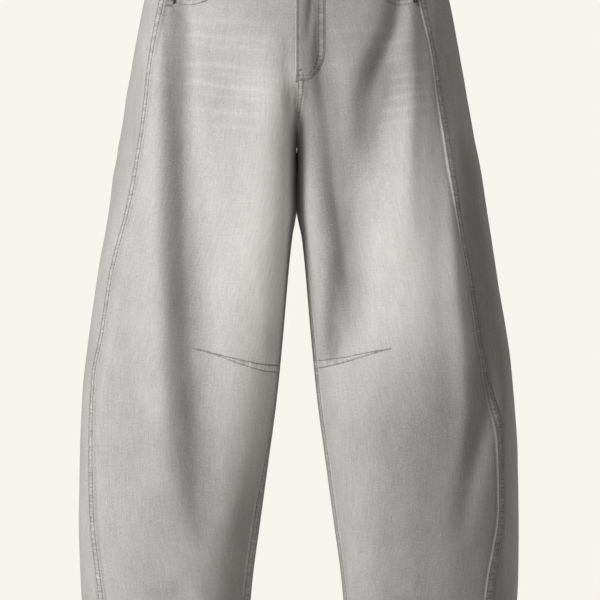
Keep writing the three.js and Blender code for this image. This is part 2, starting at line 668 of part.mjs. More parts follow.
// A round metal piece turned from a profile, seated on the cloth with its axis outward
function turnedPiece(name, profile, segments, seat) {
  const points = profile.map(([radius, height]) => new THREE.Vector2(radius, height));
  const turned = new THREE.LatheGeometry(points, segments);
  turned.deleteAttribute('normal');
  turned.deleteAttribute('uv');
  const geometry = mergeVertices(turned, 1e-4);
  geometry.computeVertexNormals();
  const mesh = add(name, geometry, METAL);
  mesh.position.copy(seat.p);
  mesh.quaternion.setFromUnitVectors(new THREE.Vector3(0, 1, 0), seat.n);
}

function waistButton() {
  const { radius, height } = BUTTON;
  const profile = [
    [0, 0],
    [radius * 0.92, 0],
    [radius, height * 0.3],
    [radius * 0.94, height * 0.8],
    [radius * 0.8, height],
    [radius * 0.62, height * 0.82],
    [radius * 0.4, height * 0.78],
    [0, height * 0.86],
  ];
  const seat = moved(frontAtX(BUTTON.x, BUTTON.z), BAND.proud + 2 * LAY_GAP);
  turnedPiece('waist_button', profile, 20, seat);
}

function pocketRivet(leg) {
  const radius = RIVET_RADIUS;
  const profile = [
    [0, 0],
    [radius, 0],
    [radius * 0.92, 0.8],
    [radius * 0.6, 1.2],
    [radius * 0.3, 1.6],
    [0, 1.8],
  ];
  const x = seamCurves[leg.seam](RIVET_Z) - RIVET_TO_SEAM;
  const seat = moved(clothAtX(leg, 'front', x, RIVET_Z), LAY_GAP);
  turnedPiece(`rivet_${leg.name}`, profile, 14, seat);
}

for (const leg of [LEGS.R, LEGS.L]) {
  frontPanel(leg);
  backPanel(leg);
  yoke(leg);
  pocketFacing(leg);
  backPocket(leg);
  pocketRivet(leg);
}
fly();
zip();
waistband();
LOOP_PLACES.forEach(beltLoop);
waistButton();

export default parts;
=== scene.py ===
"""Dresses the barrel-leg denim trousers: panels with seams, folds, fades and painted shade, stitching and metal.

Everything is worked out in millimetres in the row frame and turned into metres when a mesh is made.
The front faces -Y, the wearer's left is +X, and the origin is the middle of the waistband's top edge.
"""
import math

import bpy
import numpy as np
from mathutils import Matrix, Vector


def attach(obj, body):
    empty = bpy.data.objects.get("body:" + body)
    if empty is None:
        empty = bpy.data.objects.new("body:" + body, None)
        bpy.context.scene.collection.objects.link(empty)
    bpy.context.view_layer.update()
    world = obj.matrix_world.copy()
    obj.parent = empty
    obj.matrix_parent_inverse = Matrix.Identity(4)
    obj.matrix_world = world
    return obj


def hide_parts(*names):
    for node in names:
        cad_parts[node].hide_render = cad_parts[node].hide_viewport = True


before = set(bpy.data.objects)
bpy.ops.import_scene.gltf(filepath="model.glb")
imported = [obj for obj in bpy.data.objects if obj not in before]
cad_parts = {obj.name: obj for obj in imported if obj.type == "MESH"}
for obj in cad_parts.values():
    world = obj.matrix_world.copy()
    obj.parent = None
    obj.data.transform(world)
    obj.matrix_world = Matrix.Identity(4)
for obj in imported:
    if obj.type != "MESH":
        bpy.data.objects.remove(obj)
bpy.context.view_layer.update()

MM = 0.001
SIDES = {"R": -1.0, "L": 1.0}
NAMES = {"R": "wearer_right", "L": "wearer_left"}

# Camera: straight in front, far away, so that 0.75 m at the garment's middle fills the frame
VIEW_X = 3.75
VIEW_Z = -480.0
VIEW_DISTANCE = 30000.0
VIEW_WIDTH = 750.0
SENSOR = 36.0

# Cloth
CLOTH = 1.0
HEM_CLOTH = 2.0
LAP = 1.15
LAP_REACH = 5.0
BAND_Z = -40.0
CROTCH_Z = -299.0
HEM_FOLD_Z = -965.0
HEM_Z = -990.0
RING = 240
# Where a stitched band has its lines, and what its distance is away from every band
LINE, NO_BAND = 3.2, 12.0
SEAM_SEED = {"R": 11, "L": 13}
INSEAM_SEED = {"R": 17, "L": 19}

# The sections of one half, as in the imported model
SECTION_COLUMNS = ("z", "outerR", "outerL", "inner", "front", "back", "mid", "round_in", "round_out")
SECTIONS = np.array([
    (0, 164, 164, -164, -97, 106, 4, 2.2, 2.2),
    (-40, 172, 172, -172, -103, 113, 4, 2.2, 2.2),
    (-105, 191, 191, -191, -112, 128, 5, 2.25, 2.25),
    (-165, 202, 202, -165, -117, 136, 5, 2.35, 2.3),
    (-205, 209, 209, -87, -118, 137, 5, 2.6, 2.3),
    (-230, 214, 213, -27, -118, 135, 6, 3.1, 2.3),
    (-252, 217, 217, -9, -117, 131, 7, 3.5, 2.3),
    (-275, 221, 221, -2, -116, 126, 8, 3.7, 2.3),
    (-290, 224, 224, -0.25, -115, 123, 8, 3.8, 2.3),
    (-299, 225, 226, 0.15, -114, 121, 8, 3.8, 2.3),
    (-325, 230, 231, 1.1, -113, 116, 8, 3.8, 2.3),
    (-359, 234, 236, 2.2, -111, 109, 6, 3.8, 2.3),
    (-440, 247, 249, 10, -106, 95, 2, 3.4, 2.3),
    (-530, 260, 263, 17.8, -100, 83, -4, 2.8, 2.3),
    (-605, 268.5, 271.5, 25.3, -93, 79, -5, 2.4, 2.3),
    (-680, 271.5, 276, 35.3, -87, 77, -4, 2.3, 2.25),
    (-755, 272.5, 277.5, 45.5, -82, 74, -3, 2.25, 2.2),
    (-830, 270.5, 277, 55.5, -77, 70, -2, 2.2, 2.15),
    (-910, 263, 269, 62, -72, 66, -2, 2.15, 2.1),
    (-990, 250, 254, 67, -68, 62, -2, 2.1, 2.1),
], float)
SIDE_SEAM = np.array([
    (0, 152, 142), (-105, 167.5, 156), (-181, 180, 174), (-239, 187.5, 181), (-296, 197, 188.5),
    (-354, 207.5, 198), (-445, 231, 216), (-521, 243.5, 229.5), (-579, 254.5, 241), (-656, 257, 253),
    (-740, 256, 255), (-829, 247, 242.5), (-990, 226, 224),
], float)
INSEAM_LEAD = np.array([(0, 0), (-299, 0), (-359, 0.4), (-440, 3), (-990, 3)], float)
CROTCH_TOP, CROTCH_BOTTOM, CROTCH_HOLD = -210.0, -380.0, 5

# The main folds at the back: leg, face, from z, to z, x at the top, middle and end, half width,
# depth, and the share of the depth that stands up beside it
MAIN_FOLDS = (
    ("R", "back", -285, -420, 45, 105, 165, 30, 10, 0.45),
    ("R", "back", -380, -800, 135, 128, 150, 22, 11, 0.4),
    ("R", "back", -560, -930, 215, 205, 186, 17, 8, -0.3),
    ("R", "back", -640, -900, 84, 92, 108, 15, 6, 0.4),
    ("L", "front", -640, -900, 178, 160, 168, 20, 1.6, 0.3),
    ("L", "back", -290, -430, 40, 95, 160, 28, 11, 0.45),
    ("L", "back", -400, -760, 118, 122, 138, 20, 10, -0.3),
    ("L", "back", -520, -900, 205, 212, 190, 18, 9, 0.35),
    ("L", "back", -680, -940, 96, 100, 118, 16, 6, 0.3),
)

# Folds and creases that run down the leg: leg, face and rows of z, distance from the middle,
# width towards the middle, width away from it, and height, which is negative in a trough
LONG_CREASES = (
    ("R", "front", ((-50, 150, 13, 12, 0), (-105, 149, 14, 13, -9.5), (-165, 148, 15, 14, -12),
        (-250, 146, 17, 16, -13.5), (-340, 143, 24, 18, -15), (-420, 139, 30, 20, -16), (-480, 136, 32, 22, -16),
        (-540, 131, 32, 22, -15.5), (-600, 127, 30, 23, -14), (-660, 124, 28, 22, -12), (-720, 122, 26, 20, -9),
        (-800, 114, 24, 16, 0))),
    ("R", "front", ((-56, 172, 9, 14, 0), (-110, 172, 10, 16, 3), (-165, 172, 11, 18, 4), (-250, 173, 12, 20, 5),
        (-340, 174, 14, 22, 5.5), (-420, 173, 15, 24, 6), (-480, 170, 16, 26, 6), (-540, 170, 16, 28, 5.5),
        (-600, 168, 16, 28, 4.5), (-680, 164, 15, 30, 3), (-770, 156, 14, 30, 0))),
    ("R", "front", ((-112, 166, 3, 3, 0), (-150, 163, 4, 3.5, -1.2), (-230, 160, 6, 4, -1.4), (-290, 158, 7, 4, 0))),
    ("R", "front", ((-120, 18, 13, 34, 0), (-170, 22, 13, 38, 5), (-250, 23, 13, 42, 9), (-400, 28, 15, 44, 10),
        (-520, 38, 18, 44, 10), (-600, 47, 18, 42, 8.5), (-680, 58, 18, 38, 4), (-740, 66, 18, 36, 0))),
    ("R", "front", ((-640, 38, 8, 10, 0), (-690, 44, 10, 14, -2), (-730, 51, 12, 18, -4), (-780, 60, 14, 22, -5),
        (-850, 72, 16, 24, -5.5), (-930, 82, 16, 24, -4), (-990, 90, 16, 20, -2))),
    ("R", "front", ((-380, 210, 4, 4, 0), (-428, 215, 5, 4, 1.6), (-480, 222.5, 5, 4, 2.2), (-542, 234, 5, 4, 2.2),
        (-605, 244, 5, 4, 1.6), (-680, 248, 5, 4, 0))),
    ("R", "front", ((-500, 37, 5, 5, 0), (-530, 36, 5, 5, -2.4), (-556, 36, 4, 5, 0))),
    ("R", "front", ((-112, 157, 3, 3, 0), (-122, 150, 3, 3, -1.4), (-150, 136, 3, 3, 0))),
    ("R", "front", ((-118, 16, 9, 12, 0), (-160, 15, 9, 12, -1.8), (-215, 14, 8, 12, -1.5), (-250, 12, 6, 10, 0))),
    ("R", "front", ((-820, 150, 16, 20, 0), (-880, 158, 18, 20, -2.4), (-960, 162, 18, 20, -1.4),
        (-990, 162, 18, 20, 0))),
    ("L", "front", ((-60, 26, 8, 14, 0), (-110, 27, 9, 14, -4), (-170, 29, 9, 18, -6), (-210, 31, 10, 24, -8),
        (-270, 36, 11, 28, -11.5), (-330, 42, 12, 32, -14), (-370, 48, 13, 34, -15), (-430, 57, 14, 36, -15.5),
        (-470, 63, 14, 36, -14), (-510, 65, 13, 30, -9), (-535, 62, 12, 26, -4), (-556, 60, 12, 22, 0))),
    ("L", "front", ((-290, 12, 9, 10, 0), (-350, 18, 10, 10, 3), (-430, 25, 12, 12, 4.5), (-480, 32, 13, 12, 3),
        (-525, 34, 12, 12, 0))),
    ("L", "front", ((-420, 50, 7, 9, 0), (-470, 46, 8, 11, -5), (-530, 41, 8, 12, -8.5), (-566, 40, 7, 10, 0))),
    ("L", "front", ((-60, 132, 14, 8, 0), (-95, 130, 14, 8, -4.5), (-135, 124, 16, 10, -8.5),
        (-160, 115, 18, 13, -11), (-190, 103, 20, 17, -13), (-220, 94, 21, 20, -13.5), (-255, 89, 22, 22, -13.5),
        (-300, 82, 22, 24, -9), (-350, 76, 20, 24, 0))),
    ("L", "front", ((-60, 143, 8, 10, 0), (-105, 143, 8, 10, 1.8), (-170, 143, 12, 12, 3), (-250, 142, 14, 12, 3.5),
        (-330, 140, 16, 12, 3), (-430, 136, 18, 14, 0))),
    ("L", "front", ((-60, 172, 9, 12, 0), (-110, 174, 9, 14, -3), (-200, 180, 10, 14, -3.5), (-270, 186, 10, 10, 0))),
    ("L", "front", ((-230, 182, 10, 8, 0), (-300, 190, 10, 9, 2.5), (-380, 194, 12, 10, 4.5), (-460, 198, 14, 11, 5),
        (-540, 206, 14, 12, 4.5), (-620, 208, 13, 11, 3), (-700, 204, 12, 10, 0))),
    ("L", "front", ((-200, 206, 12, 10, 0), (-280, 213, 14, 11, -4.5), (-340, 222, 16, 12, -6),
        (-400, 228, 17, 13, -6.5), (-460, 233, 17, 13, -6.5), (-520, 239, 17, 13, -7), (-590, 243, 16, 12, -8),
        (-640, 234, 14, 12, -8), (-680, 225, 14, 13, -6.5), (-720, 216, 14, 13, -4.5), (-790, 204, 12, 12, 0))),
    ("L", "front", ((-50, 19, 4, 5, 0), (-85, 19, 5, 5, -2.4), (-120, 16.5, 5, 5, -2.8), (-165, 13, 5, 4, 0))),
    ("L", "front", ((-600, 120, 26, 30, 0), (-680, 122, 26, 36, -3.5), (-800, 124, 26, 36, -4.5),
        (-985, 126, 26, 30, -3))),
    ("L", "front", ((-560, 60, 22, 26, 0), (-680, 64, 22, 26, 2), (-800, 68, 20, 26, 2), (-930, 76, 20, 26, 0))),
    ("R", "back", ((-180, 62, 12, 12, 0), (-250, 74, 12, 14, -2.5), (-320, 92, 12, 14, 0))),
    ("L", "back", ((-190, 84, 12, 12, 0), (-260, 92, 12, 14, -2.2), (-330, 112, 12, 14, 0))),
    ("R", "back", ((-320, 196, 8, 9, 0), (-430, 205, 9, 12, -4.5), (-560, 214, 9, 12, -3), (-640, 218, 8, 9, 0))),
    ("R", "back", ((-380, 238, 9, 8, 0), (-470, 246, 9, 8, -3.5), (-560, 252, 9, 7, -2.5), (-640, 254, 8, 7, 0))),
    ("L", "back", ((-300, 178, 8, 9, 0), (-400, 186, 10, 12, -4.6), (-520, 200, 9, 12, -2.8), (-610, 208, 8, 9, 0))),
    ("L", "back", ((-430, 246, 9, 8, 0), (-520, 254, 9, 8, -3.4), (-610, 260, 9, 7, -2.4), (-690, 262, 8, 7, 0))),
    ("R", "back", ((-470, 62, 8, 8, 0), (-560, 66, 8, 9, -3), (-660, 72, 8, 8, 0))),
    ("L", "back", ((-450, 56, 8, 8, 0), (-540, 62, 8, 9, -2.8), (-640, 74, 8, 8, 0))),
)

# Creases that run across: leg, face and rows of distance from the middle, z, width up, width down, height
CROSS_CREASES = (
    ("R", "back", ((20, -296, 7, 8, 0), (60, -318, 7, 9, -3.5), (120, -338, 8, 10, -3), (185, -342, 8, 10, 0))),
    ("L", "back", ((24, -302, 7, 8, 0), (70, -326, 7, 9, -3.8), (130, -344, 8, 10, -2.6), (190, -346, 8, 10, 0))),
    ("R", "back", ((60, -372, 8, 9, 0), (110, -384, 8, 9, -2.6), (170, -380, 8, 9, 0))),
    ("L", "back", ((70, -392, 8, 9, 0), (120, -402, 8, 9, -2.4), (175, -396, 8, 9, 0))),
    ("R", "back", ((70, -600, 8, 10, 0), (120, -612, 9, 11, -3), (190, -604, 8, 10, 0))),
    ("L", "back", ((66, -590, 8, 10, 0), (126, -600, 9, 11, -3), (196, -590, 8, 10, 0))),
    ("R", "front", ((120, -842, 8, 10, 0), (170, -850, 9, 10, -1.8), (225, -842, 8, 10, 0))),
    ("L", "front", ((100, -850, 8, 10, 0), (160, -862, 9, 10, -1.8), (220, -852, 8, 10, 0))),
)

# Knee darts, seen from the front: distance from the middle, height of the upper and lower stitching
DARTS = {
    "R": ((130, -541.5, -541.8), (100, -548, -549.8), (71, -554.2, -559.4), (47, -559.0, -566.6), (26, -561, -570)),
    "L": ((117.5, -540.5, -540.9), (86, -546.3, -549.6), (58, -552, -558), (30, -555.6, -564.4), (22, -556.2, -565.4)),
}

# Fading: z, distance from the middle, half width and strength
FADES = {
    ("R", "front"): ((0, 90, 90, 0.08), (-110, 84, 80, 0.16), (-190, 66, 88, 0.34), (-270, 62, 92, 0.6),
        (-360, 58, 96, 0.78), (-450, 60, 98, 0.78), (-520, 66, 100, 0.56), (-590, 80, 106, 0.36),
        (-660, 100, 116, 0.2), (-780, 140, 120, 0.14), (-990, 150, 120, 0.06)),
    ("L", "front"): ((0, 90, 90, 0.06), (-110, 126, 60, 0.06), (-190, 130, 52, 0.26), (-270, 130, 58, 0.66),
        (-360, 130, 60, 1.0), (-450, 126, 62, 1.15), (-520, 114, 70, 0.9), (-590, 98, 76, 0.4), (-660, 84, 80, 0.14),
        (-780, 80, 90, 0.06), (-990, 100, 120, 0.03)),
    ("R", "back"): ((0, 90, 90, 0.1), (-110, 92, 84, 0.3), (-190, 94, 84, 0.6), (-260, 98, 82, 0.7),
        (-340, 104, 78, 0.35), (-450, 118, 80, 0.45), (-560, 130, 84, 0.5), (-680, 140, 90, 0.25),
        (-800, 150, 100, 0.14), (-990, 150, 120, 0.08)),
}
FADES[("L", "back")] = FADES[("R", "back")]

# Painted shade of folds and hollows in front, and painted light where negative: leg and rows of z, distance from the
# middle, half width and strength
PAINTED_SHADE_AND_LIGHT = (
    ("L", ((-40, 18, 9, 0.8), (-105, 18, 9, 0.9), (-165, 16, 9, 0.85), (-205, 17, 10, 0.6), (-250, 19, 12, 0.7),
        (-290, 22, 14, 0.35), (-340, 26, 14, 0))),
    ("L", ((-260, 216, 12, 0), (-330, 222, 14, 0.45), (-400, 228, 15, 0.5), (-480, 236, 15, 0.45),
        (-560, 244, 15, 0.4), (-620, 244, 16, 0.3), (-700, 224, 16, 0.25), (-760, 208, 14, 0))),
    ("L", ((-170, 112, 16, 0), (-195, 112, 16, 0.4), (-240, 104, 18, 0.55), (-290, 94, 16, 0.4), (-340, 90, 14, 0))),
    ("L", ((-400, 42, 12, 0), (-450, 42, 12, 0.35), (-545, 42, 11, 0.6), (-562, 40, 10, 0))),
    ("L", ((-90, 166, 10, 0), (-120, 166, 10, -0.4), (-200, 170, 10, -0.4), (-260, 174, 10, 0))),
    ("R", ((-60, 158, 9, 0), (-120, 158, 10, 0.25), (-260, 157, 11, 0.25), (-330, 154, 12, 0.15),
        (-400, 150, 12, 0))),
    ("R", ((-200, 30, 14, 0), (-250, 32, 15, -0.5), (-330, 34, 16, -0.7), (-440, 38, 15, -0.5), (-520, 46, 14, 0))),
    ("R", ((-170, 9, 9, 0), (-205, 9, 9, -0.6), (-240, 9, 8, -0.9), (-262, 8, 7, 0))),
)

# Whiskers, light streaks on the upper thighs: leg, middle x, middle z, half length, half width, slope, strength
WHISKERS = (
    ("R", 96, -131, 60, 3.4, 0.06, 0.28),
    ("R", 98, -151, 66, 2.6, 0.08, 0.4),
    ("R", 84, -164, 62, 2.2, 0.10, 0.3),
    ("R", 92, -187.5, 70, 2.9, 0.11, 0.5),
    ("R", 76, -200, 60, 2.2, 0.10, 0.36),
    ("R", 88, -212.5, 72, 2.8, 0.12, 0.55),
    ("R", 70, -226, 54, 2.4, 0.10, 0.4),
    ("R", 80, -246, 64, 3.0, 0.11, 0.42),
    ("R", 70, -264, 50, 2.8, 0.09, 0.26),
    ("L", 84, -142, 56, 2.6, 0.04, 0.26),
    ("L", 118, -158, 44, 2.4, 0.08, 0.34),
    ("L", 128, -177, 42, 2.4, 0.10, 0.4),
    ("L", 60, -186, 38, 2.6, 0.05, 0.2),
    ("L", 134, -200, 38, 2.4, 0.10, 0.46),
    ("L", 138, -213, 34, 2.0, 0.12, 0.4),
    ("L", 136, -225, 36, 2.6, 0.12, 0.55),
    ("L", 134, -241, 36, 2.8, 0.12, 0.5),
    ("L", 126, -258, 38, 2.6, 0.12, 0.36),
)


def smooth(start, end, value):
    t = np.clip((value - start) / (end - start), 0.0, 1.0)
    return t * t * (3 - 2 * t)


def curve(keys, values):
    """A smooth function through a table's rows that never overshoots them."""
    keys, values = np.asarray(keys, float), np.asarray(values, float)
    if keys[0] > keys[-1]:
        keys, values = keys[::-1], values[::-1]
    step = np.diff(values) / np.diff(keys)
    before, after = np.append(step[:1], step), np.append(step, step[-1:])
    same_way = before * after > 0
    slope = np.where(same_way, 2 * before * after / np.where(same_way, before + after, 1.0), 0.0)

    def at(value):
        value = np.asarray(value, float)
        i = np.clip(np.searchsorted(keys, value) - 1, 0, len(keys) - 2)
        span = keys[i + 1] - keys[i]
        t = np.clip((value - keys[i]) / span, 0.0, 1.0)
        t2, t3 = t * t, t * t * t
        return ((2 * t3 - 3 * t2 + 1) * values[i] + (t3 - 2 * t2 + t) * span * slope[i]
                + (3 * t2 - 2 * t3) * values[i + 1] + (t3 - t2) * span * slope[i + 1])

    return at


def tracks(rows, value):
    """What each further column of a table gives at a value of its first."""
    rows = np.array(rows, float)
    return [curve(rows[:, 0], column)(value) for column in rows[:, 1:].T]


def bell(value, width, power=2):
    """1 at zero, falling off on both sides over a width; a high power gives it a flat top."""
    return np.exp(-np.abs(value / width) ** power)


CURVES = {name: curve(SECTIONS[:, 0], SECTIONS[:, i]) for i, name in enumerate(SECTION_COLUMNS) if i}
SEAM = {"R": curve(SIDE_SEAM[:, 0], SIDE_SEAM[:, 1]), "L": curve(SIDE_SEAM[:, 0], SIDE_SEAM[:, 2])}
LEAD = curve(INSEAM_LEAD[:, 0], INSEAM_LEAD[:, 1])


def noise(points, cell, seed):
    """Smooth random values between -1 and 1 at points, one independent value a cell."""
    size = 32
    lattice = np.random.default_rng(seed).uniform(-1, 1, (size, size, size))
    p = np.asarray(points, float) / cell
    whole = np.floor(p).astype(int)
    part = p - whole
    part = part * part * (3 - 2 * part)
    total = 0.0
    for dx in (0, 1):
        for dy in (0, 1):
            for dz in (0, 1):
                weight = (np.where(dx, part[..., 0], 1 - part[..., 0]) * np.where(dy, part[..., 1], 1 - part[..., 1])
                          * np.where(dz, part[..., 2], 1 - part[..., 2]))
                total = total + weight * lattice[(whole[..., 0] + dx) % size, (whole[..., 1] + dy) % size,
                                                 (whole[..., 2] + dz) % size]
    return total


def section(leg, z):
    outer = CURVES["outer" + leg](z)
    inner = np.maximum(CURVES["inner"](z), -outer)
    return {
        "outer": outer, "inner": inner, "middle": (outer + inner) / 2, "half": (outer - inner) / 2,
        "mid": CURVES["mid"](z), "front": CURVES["front"](z), "back": CURVES["back"](z),
        "round_in": CURVES["round_in"](z), "round_out": CURVES["round_out"](z),
    }


def signed_power(value, power):
    return np.sign(value) * np.abs(value) ** power


def oval(s, angle):
    c, d = np.cos(angle), np.sin(angle)
    power = 2 / np.where(c < 0, s["round_in"], s["round_out"])
    depth = np.where(d < 0, s["mid"] - s["front"], s["back"] - s["mid"])
    return s["middle"] + s["half"] * signed_power(c, power), s["mid"] + depth * signed_power(d, power)


def outside(leg, x, y, z):
    s = section(leg, z)
    across = (x - s["middle"]) / s["half"]
    depth = np.where(y < s["mid"], s["mid"] - s["front"], s["back"] - s["mid"])
    power = np.where(across < 0, s["round_in"], s["round_out"])
    return (np.abs(across) ** power + np.abs((y - s["mid"]) / depth) ** power) ** (1 / power) - 1


def outward(leg, x, y, z):
    h = 0.05
    n = np.stack([
        outside(leg, x + h, y, z) - outside(leg, x - h, y, z),
        outside(leg, x, y + h, z) - outside(leg, x, y - h, z),
        outside(leg, x, y, z + h) - outside(leg, x, y, z - h),
    ], -1)
    return n / np.linalg.norm(n, axis=-1, keepdims=True)


def outlines(leg, levels):
    """For each level the half's outline: angles, lengths from its front start, the seam's and the whole length."""
    s = section(leg, levels)
    cut = np.where(s["inner"] < 0.15, 0.15, s["inner"] + LEAD(levels))
    reach = np.clip((s["middle"] - cut) / s["half"], 0, 1)
    angle = math.pi - np.arccos(reach ** (s["round_in"] / 2))
    end = np.where(s["inner"] < 0.15, angle, 2 * math.pi - angle)
    angles = -angle[:, None] + np.linspace(0, 1, RING + 1) * (end + angle)[:, None]
    column = {k: v[:, None] for k, v in s.items()}
    x, y = oval(column, angles)
    lengths = np.concatenate([np.zeros((len(levels), 1)),
                              np.cumsum(np.hypot(np.diff(x, axis=1), np.diff(y, axis=1)), axis=1)], axis=1)
    seam = np.array([np.interp(SEAM[leg](z), xs[a < 0], ls[a < 0])
                     for z, xs, ls, a in zip(levels, x, lengths, angles)])
    return angles, lengths, seam, lengths[:, -1], x


def spans(leg, z):
    """Lengths of the front's and the back's cloth at each height."""
    levels, where = np.unique(np.round(z, 3), return_inverse=True)
    seam, total = outlines(leg, levels)[2:4]
    where = where.reshape(np.shape(z))
    return seam[where], (total - seam)[where]


def form(leg, s, z):
    """The smooth form at a length s past the side seam, negative in front: x, y and outward direction."""
    shape = np.shape(s)
    s, z = np.ravel(s), np.ravel(z)
    levels, where = np.unique(np.round(z, 3), return_inverse=True)
    angles, lengths, seam, total, _ = outlines(leg, levels)
    length = seam[where] + s
    length = np.where(z < CROTCH_Z, length % total[where], np.clip(length, 0, total[where]))
    angle = np.empty(len(s))
    for part in np.array_split(np.arange(len(s)), max(1, len(s) // 20000)):
        rows = where[part]
        ring = lengths[rows]
        i = np.clip((ring < length[part, None]).sum(1), 1, RING)
        near, far = ring[np.arange(len(part)), i - 1], ring[np.arange(len(part)), i]
        t = (length[part] - near) / (far - near)
        angle[part] = angles[rows, i - 1] + t * (angles[rows, i] - angles[rows, i - 1])
    x, y = oval(section(leg, z), angle)
    n = outward(leg, x, y, z)
    return x.reshape(shape), y.reshape(shape), n.reshape(shape + (3,)), seam[where].reshape(shape), \
        (total - seam)[where].reshape(shape)


def arc_at_x(leg, face, x, z):
    """The length past the side seam of a place in front or at the back, from its distance to the middle."""
    x, z = np.broadcast_arrays(np.asarray(x, float), np.asarray(z, float))
    levels, where = np.unique(np.round(z, 3), return_inverse=True)
    angles, lengths, seam, _, xs = outlines(leg, levels)
    where = where.reshape(z.shape)
    s = np.empty(z.shape)
    for i in range(len(levels)):
        part = angles[i] < 0 if face == "front" else (angles[i] >= 0) & (angles[i] <= math.pi)
        order = np.argsort(xs[i][part])
        s[where == i] = np.interp(x[where == i], xs[i][part][order], lengths[i][part][order]) - seam[i]
    return s


def main_fold(fold, x, z):
    _, _, top, end, x_top, x_mid, x_end, width, depth, ridge = fold
    t = np.clip((top - z) / (top - end), 0, 1)
    at = x_top * (1 - t) * (1 - 2 * t) + x_mid * 4 * t * (1 - t) + x_end * t * (2 * t - 1)
    off = (x - at) / width
    beside = (off - 1.7 * np.sign(ridge)) / 1.1
    along = smooth(0, 0.25, t) * smooth(1, 0.65, t)
    return depth * along * (abs(ridge) * np.exp(-beside ** 2) - np.exp(-off ** 2))


def crease(rows, along, across):
    first, last = sorted((rows[0][0], rows[-1][0]))
    at, low, high, height = tracks(rows, along)
    inside = (along > first) & (along < last)
    off = across - at
    return np.where(inside, height * bell(off, np.where(off < 0, low, high)), 0.0)


def seen(side, x, y, z):
    """Distance from the middle and height at which the camera sees a point."""
    scale = VIEW_DISTANCE / (VIEW_DISTANCE + y)
    return side * (VIEW_X + (side * x - VIEW_X) * scale), VIEW_Z + (z - VIEW_Z) * scale


def dart_lines(leg):
    rows = np.array(DARTS[leg], float)
    return curve(rows[:, 0], rows[:, 1]), curve(rows[:, 0], rows[:, 2]), rows[0, 0]


def ladder(along, across, seed, pitch=3.3):
    """Puckers across a seam, uneven in height and spacing."""
    p = np.stack([along + 0.2 * across, across / 3.0, np.zeros_like(along)], -1)
    return noise(p, pitch, seed) + 0.4 * noise(p + 40, pitch * 0.55, seed + 1)


def relief(leg, x, y, z, n, s, front_length, back_length):
    """How far the cloth stands out of the smooth form: folds, undulation, darts and seam puckers."""
    side = SIDES[leg]
    xs, zs = seen(side, x, y, z)
    to_front, to_back = smooth(0, 0.6, -n[..., 1]), smooth(0, 0.6, n[..., 1])
    inner = np.maximum(CURVES["inner"](z), 0)
    away = smooth(4, 32, x - inner)
    total = np.zeros_like(x)
    for fold in MAIN_FOLDS:
        if fold[0] == leg:
            total += (to_front if fold[1] == "front" else to_back) * main_fold(fold, x, z)
    total *= away
    fine = np.zeros_like(x)
    for owner, face, rows in LONG_CREASES:
        if owner == leg:
            along, across = (zs, xs) if face == "front" else (z, x)
            fine += (to_front if face == "front" else to_back) * crease(rows, along, across)
    for owner, face, rows in CROSS_CREASES:
        if owner == leg:
            along, across = (xs, zs) if face == "front" else (x, z)
            fine += (to_front if face == "front" else to_back) * crease(
                [(r[0], r[1], r[3], r[2], r[4]) for r in rows], along, across)
    total += fine * smooth(0, 8, x - inner)
    p = np.stack([side * x, y, z * 0.45], -1)
    total += away * (0.9 * noise(p, 42, 5) + 0.35 * noise(p + 7, 17, 6) + 0.10 * noise(p, 7, 7))
    in_front = to_front * (z < CROTCH_Z)
    upper, lower, tip = dart_lines(leg)
    middle, half = (upper(xs) + lower(xs)) / 2, np.maximum((upper(xs) - lower(xs)) / 2, 0.6)
    on_dart = in_front * smooth(tip + 1, tip - 6, xs)
    off = (zs - middle) / half
    total += on_dart * (0.75 * bell(off, 0.8, 4) - 0.6 * bell(np.abs(off) - 1.25, 0.35)
                        + 0.35 * bell(off, 1.1, 4) * ladder(xs, zs - middle, 31))
    total -= in_front * 0.9 * np.exp(-((xs - tip - 1) / 3.5) ** 2 - ((zs - middle) / 2.2) ** 2)
    below_band = smooth(-38, -44, z)
    total += below_band * (0.34 * bell(s, 8.0, 4) * ladder(z, s, SEAM_SEED[leg])
                           - 0.45 * bell(s + 8.0, 2.2) - 0.5 * bell(s - 6.6, 1.8)
                           - 0.3 * bell(np.abs(s) - 3.2, 1.0))
    inseam = np.minimum(s + front_length, back_length - s)
    total += (0.30 * bell(inseam - 2, 9.0, 4) * ladder(z, inseam, INSEAM_SEED[leg])
              * smooth(-160, -200, z))
    return total


def wear_and_painted_shading(leg, s, z, front_length):
    """Light on worn seam edges and puckers' tops, painted highlights on the turned edges, painted shade in the ditches,
    and darker along the stitching.
    """
    below_band = smooth(-38, -44, z)
    puckers = ladder(z, s, SEAM_SEED[leg])
    mark = bell(s, 5.6, 6) * (0.45 * puckers * bell(s, 4.2, 4) - 0.1)
    # Painted highlight on the seam's turned edge, and painted shade in the ditch beside it
    mark += 0.6 * bell(s - 4.6, 0.8) - 0.95 * bell(s - 6.1, 0.9)
    mark += 0.25 * bell(s + 5.6, 1.0) - 0.35 * bell(s + 7.4, 1.2)
    inseam = s + front_length
    puckers = ladder(z, inseam, INSEAM_SEED[leg])
    # At the inseam: worn puckers, a painted highlight on its edge and painted shade beside it
    mark += smooth(-208, -214, z) * (s < 0) * (
        0.4 * bell(inseam - 3, 5.5, 4) * puckers + 0.6 * bell(inseam - 10.2, 1.0)
        - 0.45 * bell(inseam - 12.2, 1.4))
    return mark * below_band


SCOOP_X = 92
SCOOP = curve([SCOOP_X, 99, 109, 122, 137, 152, 175], [-40, -66, -88, -100, -103.5, -101.5, -97])
SCOOP_SPREAD = 1.12


def scoop_top(x):
    return np.where(x > SCOOP_X, SCOOP(SCOOP_X + (x - SCOOP_X) * SCOOP_SPREAD), BAND_Z)


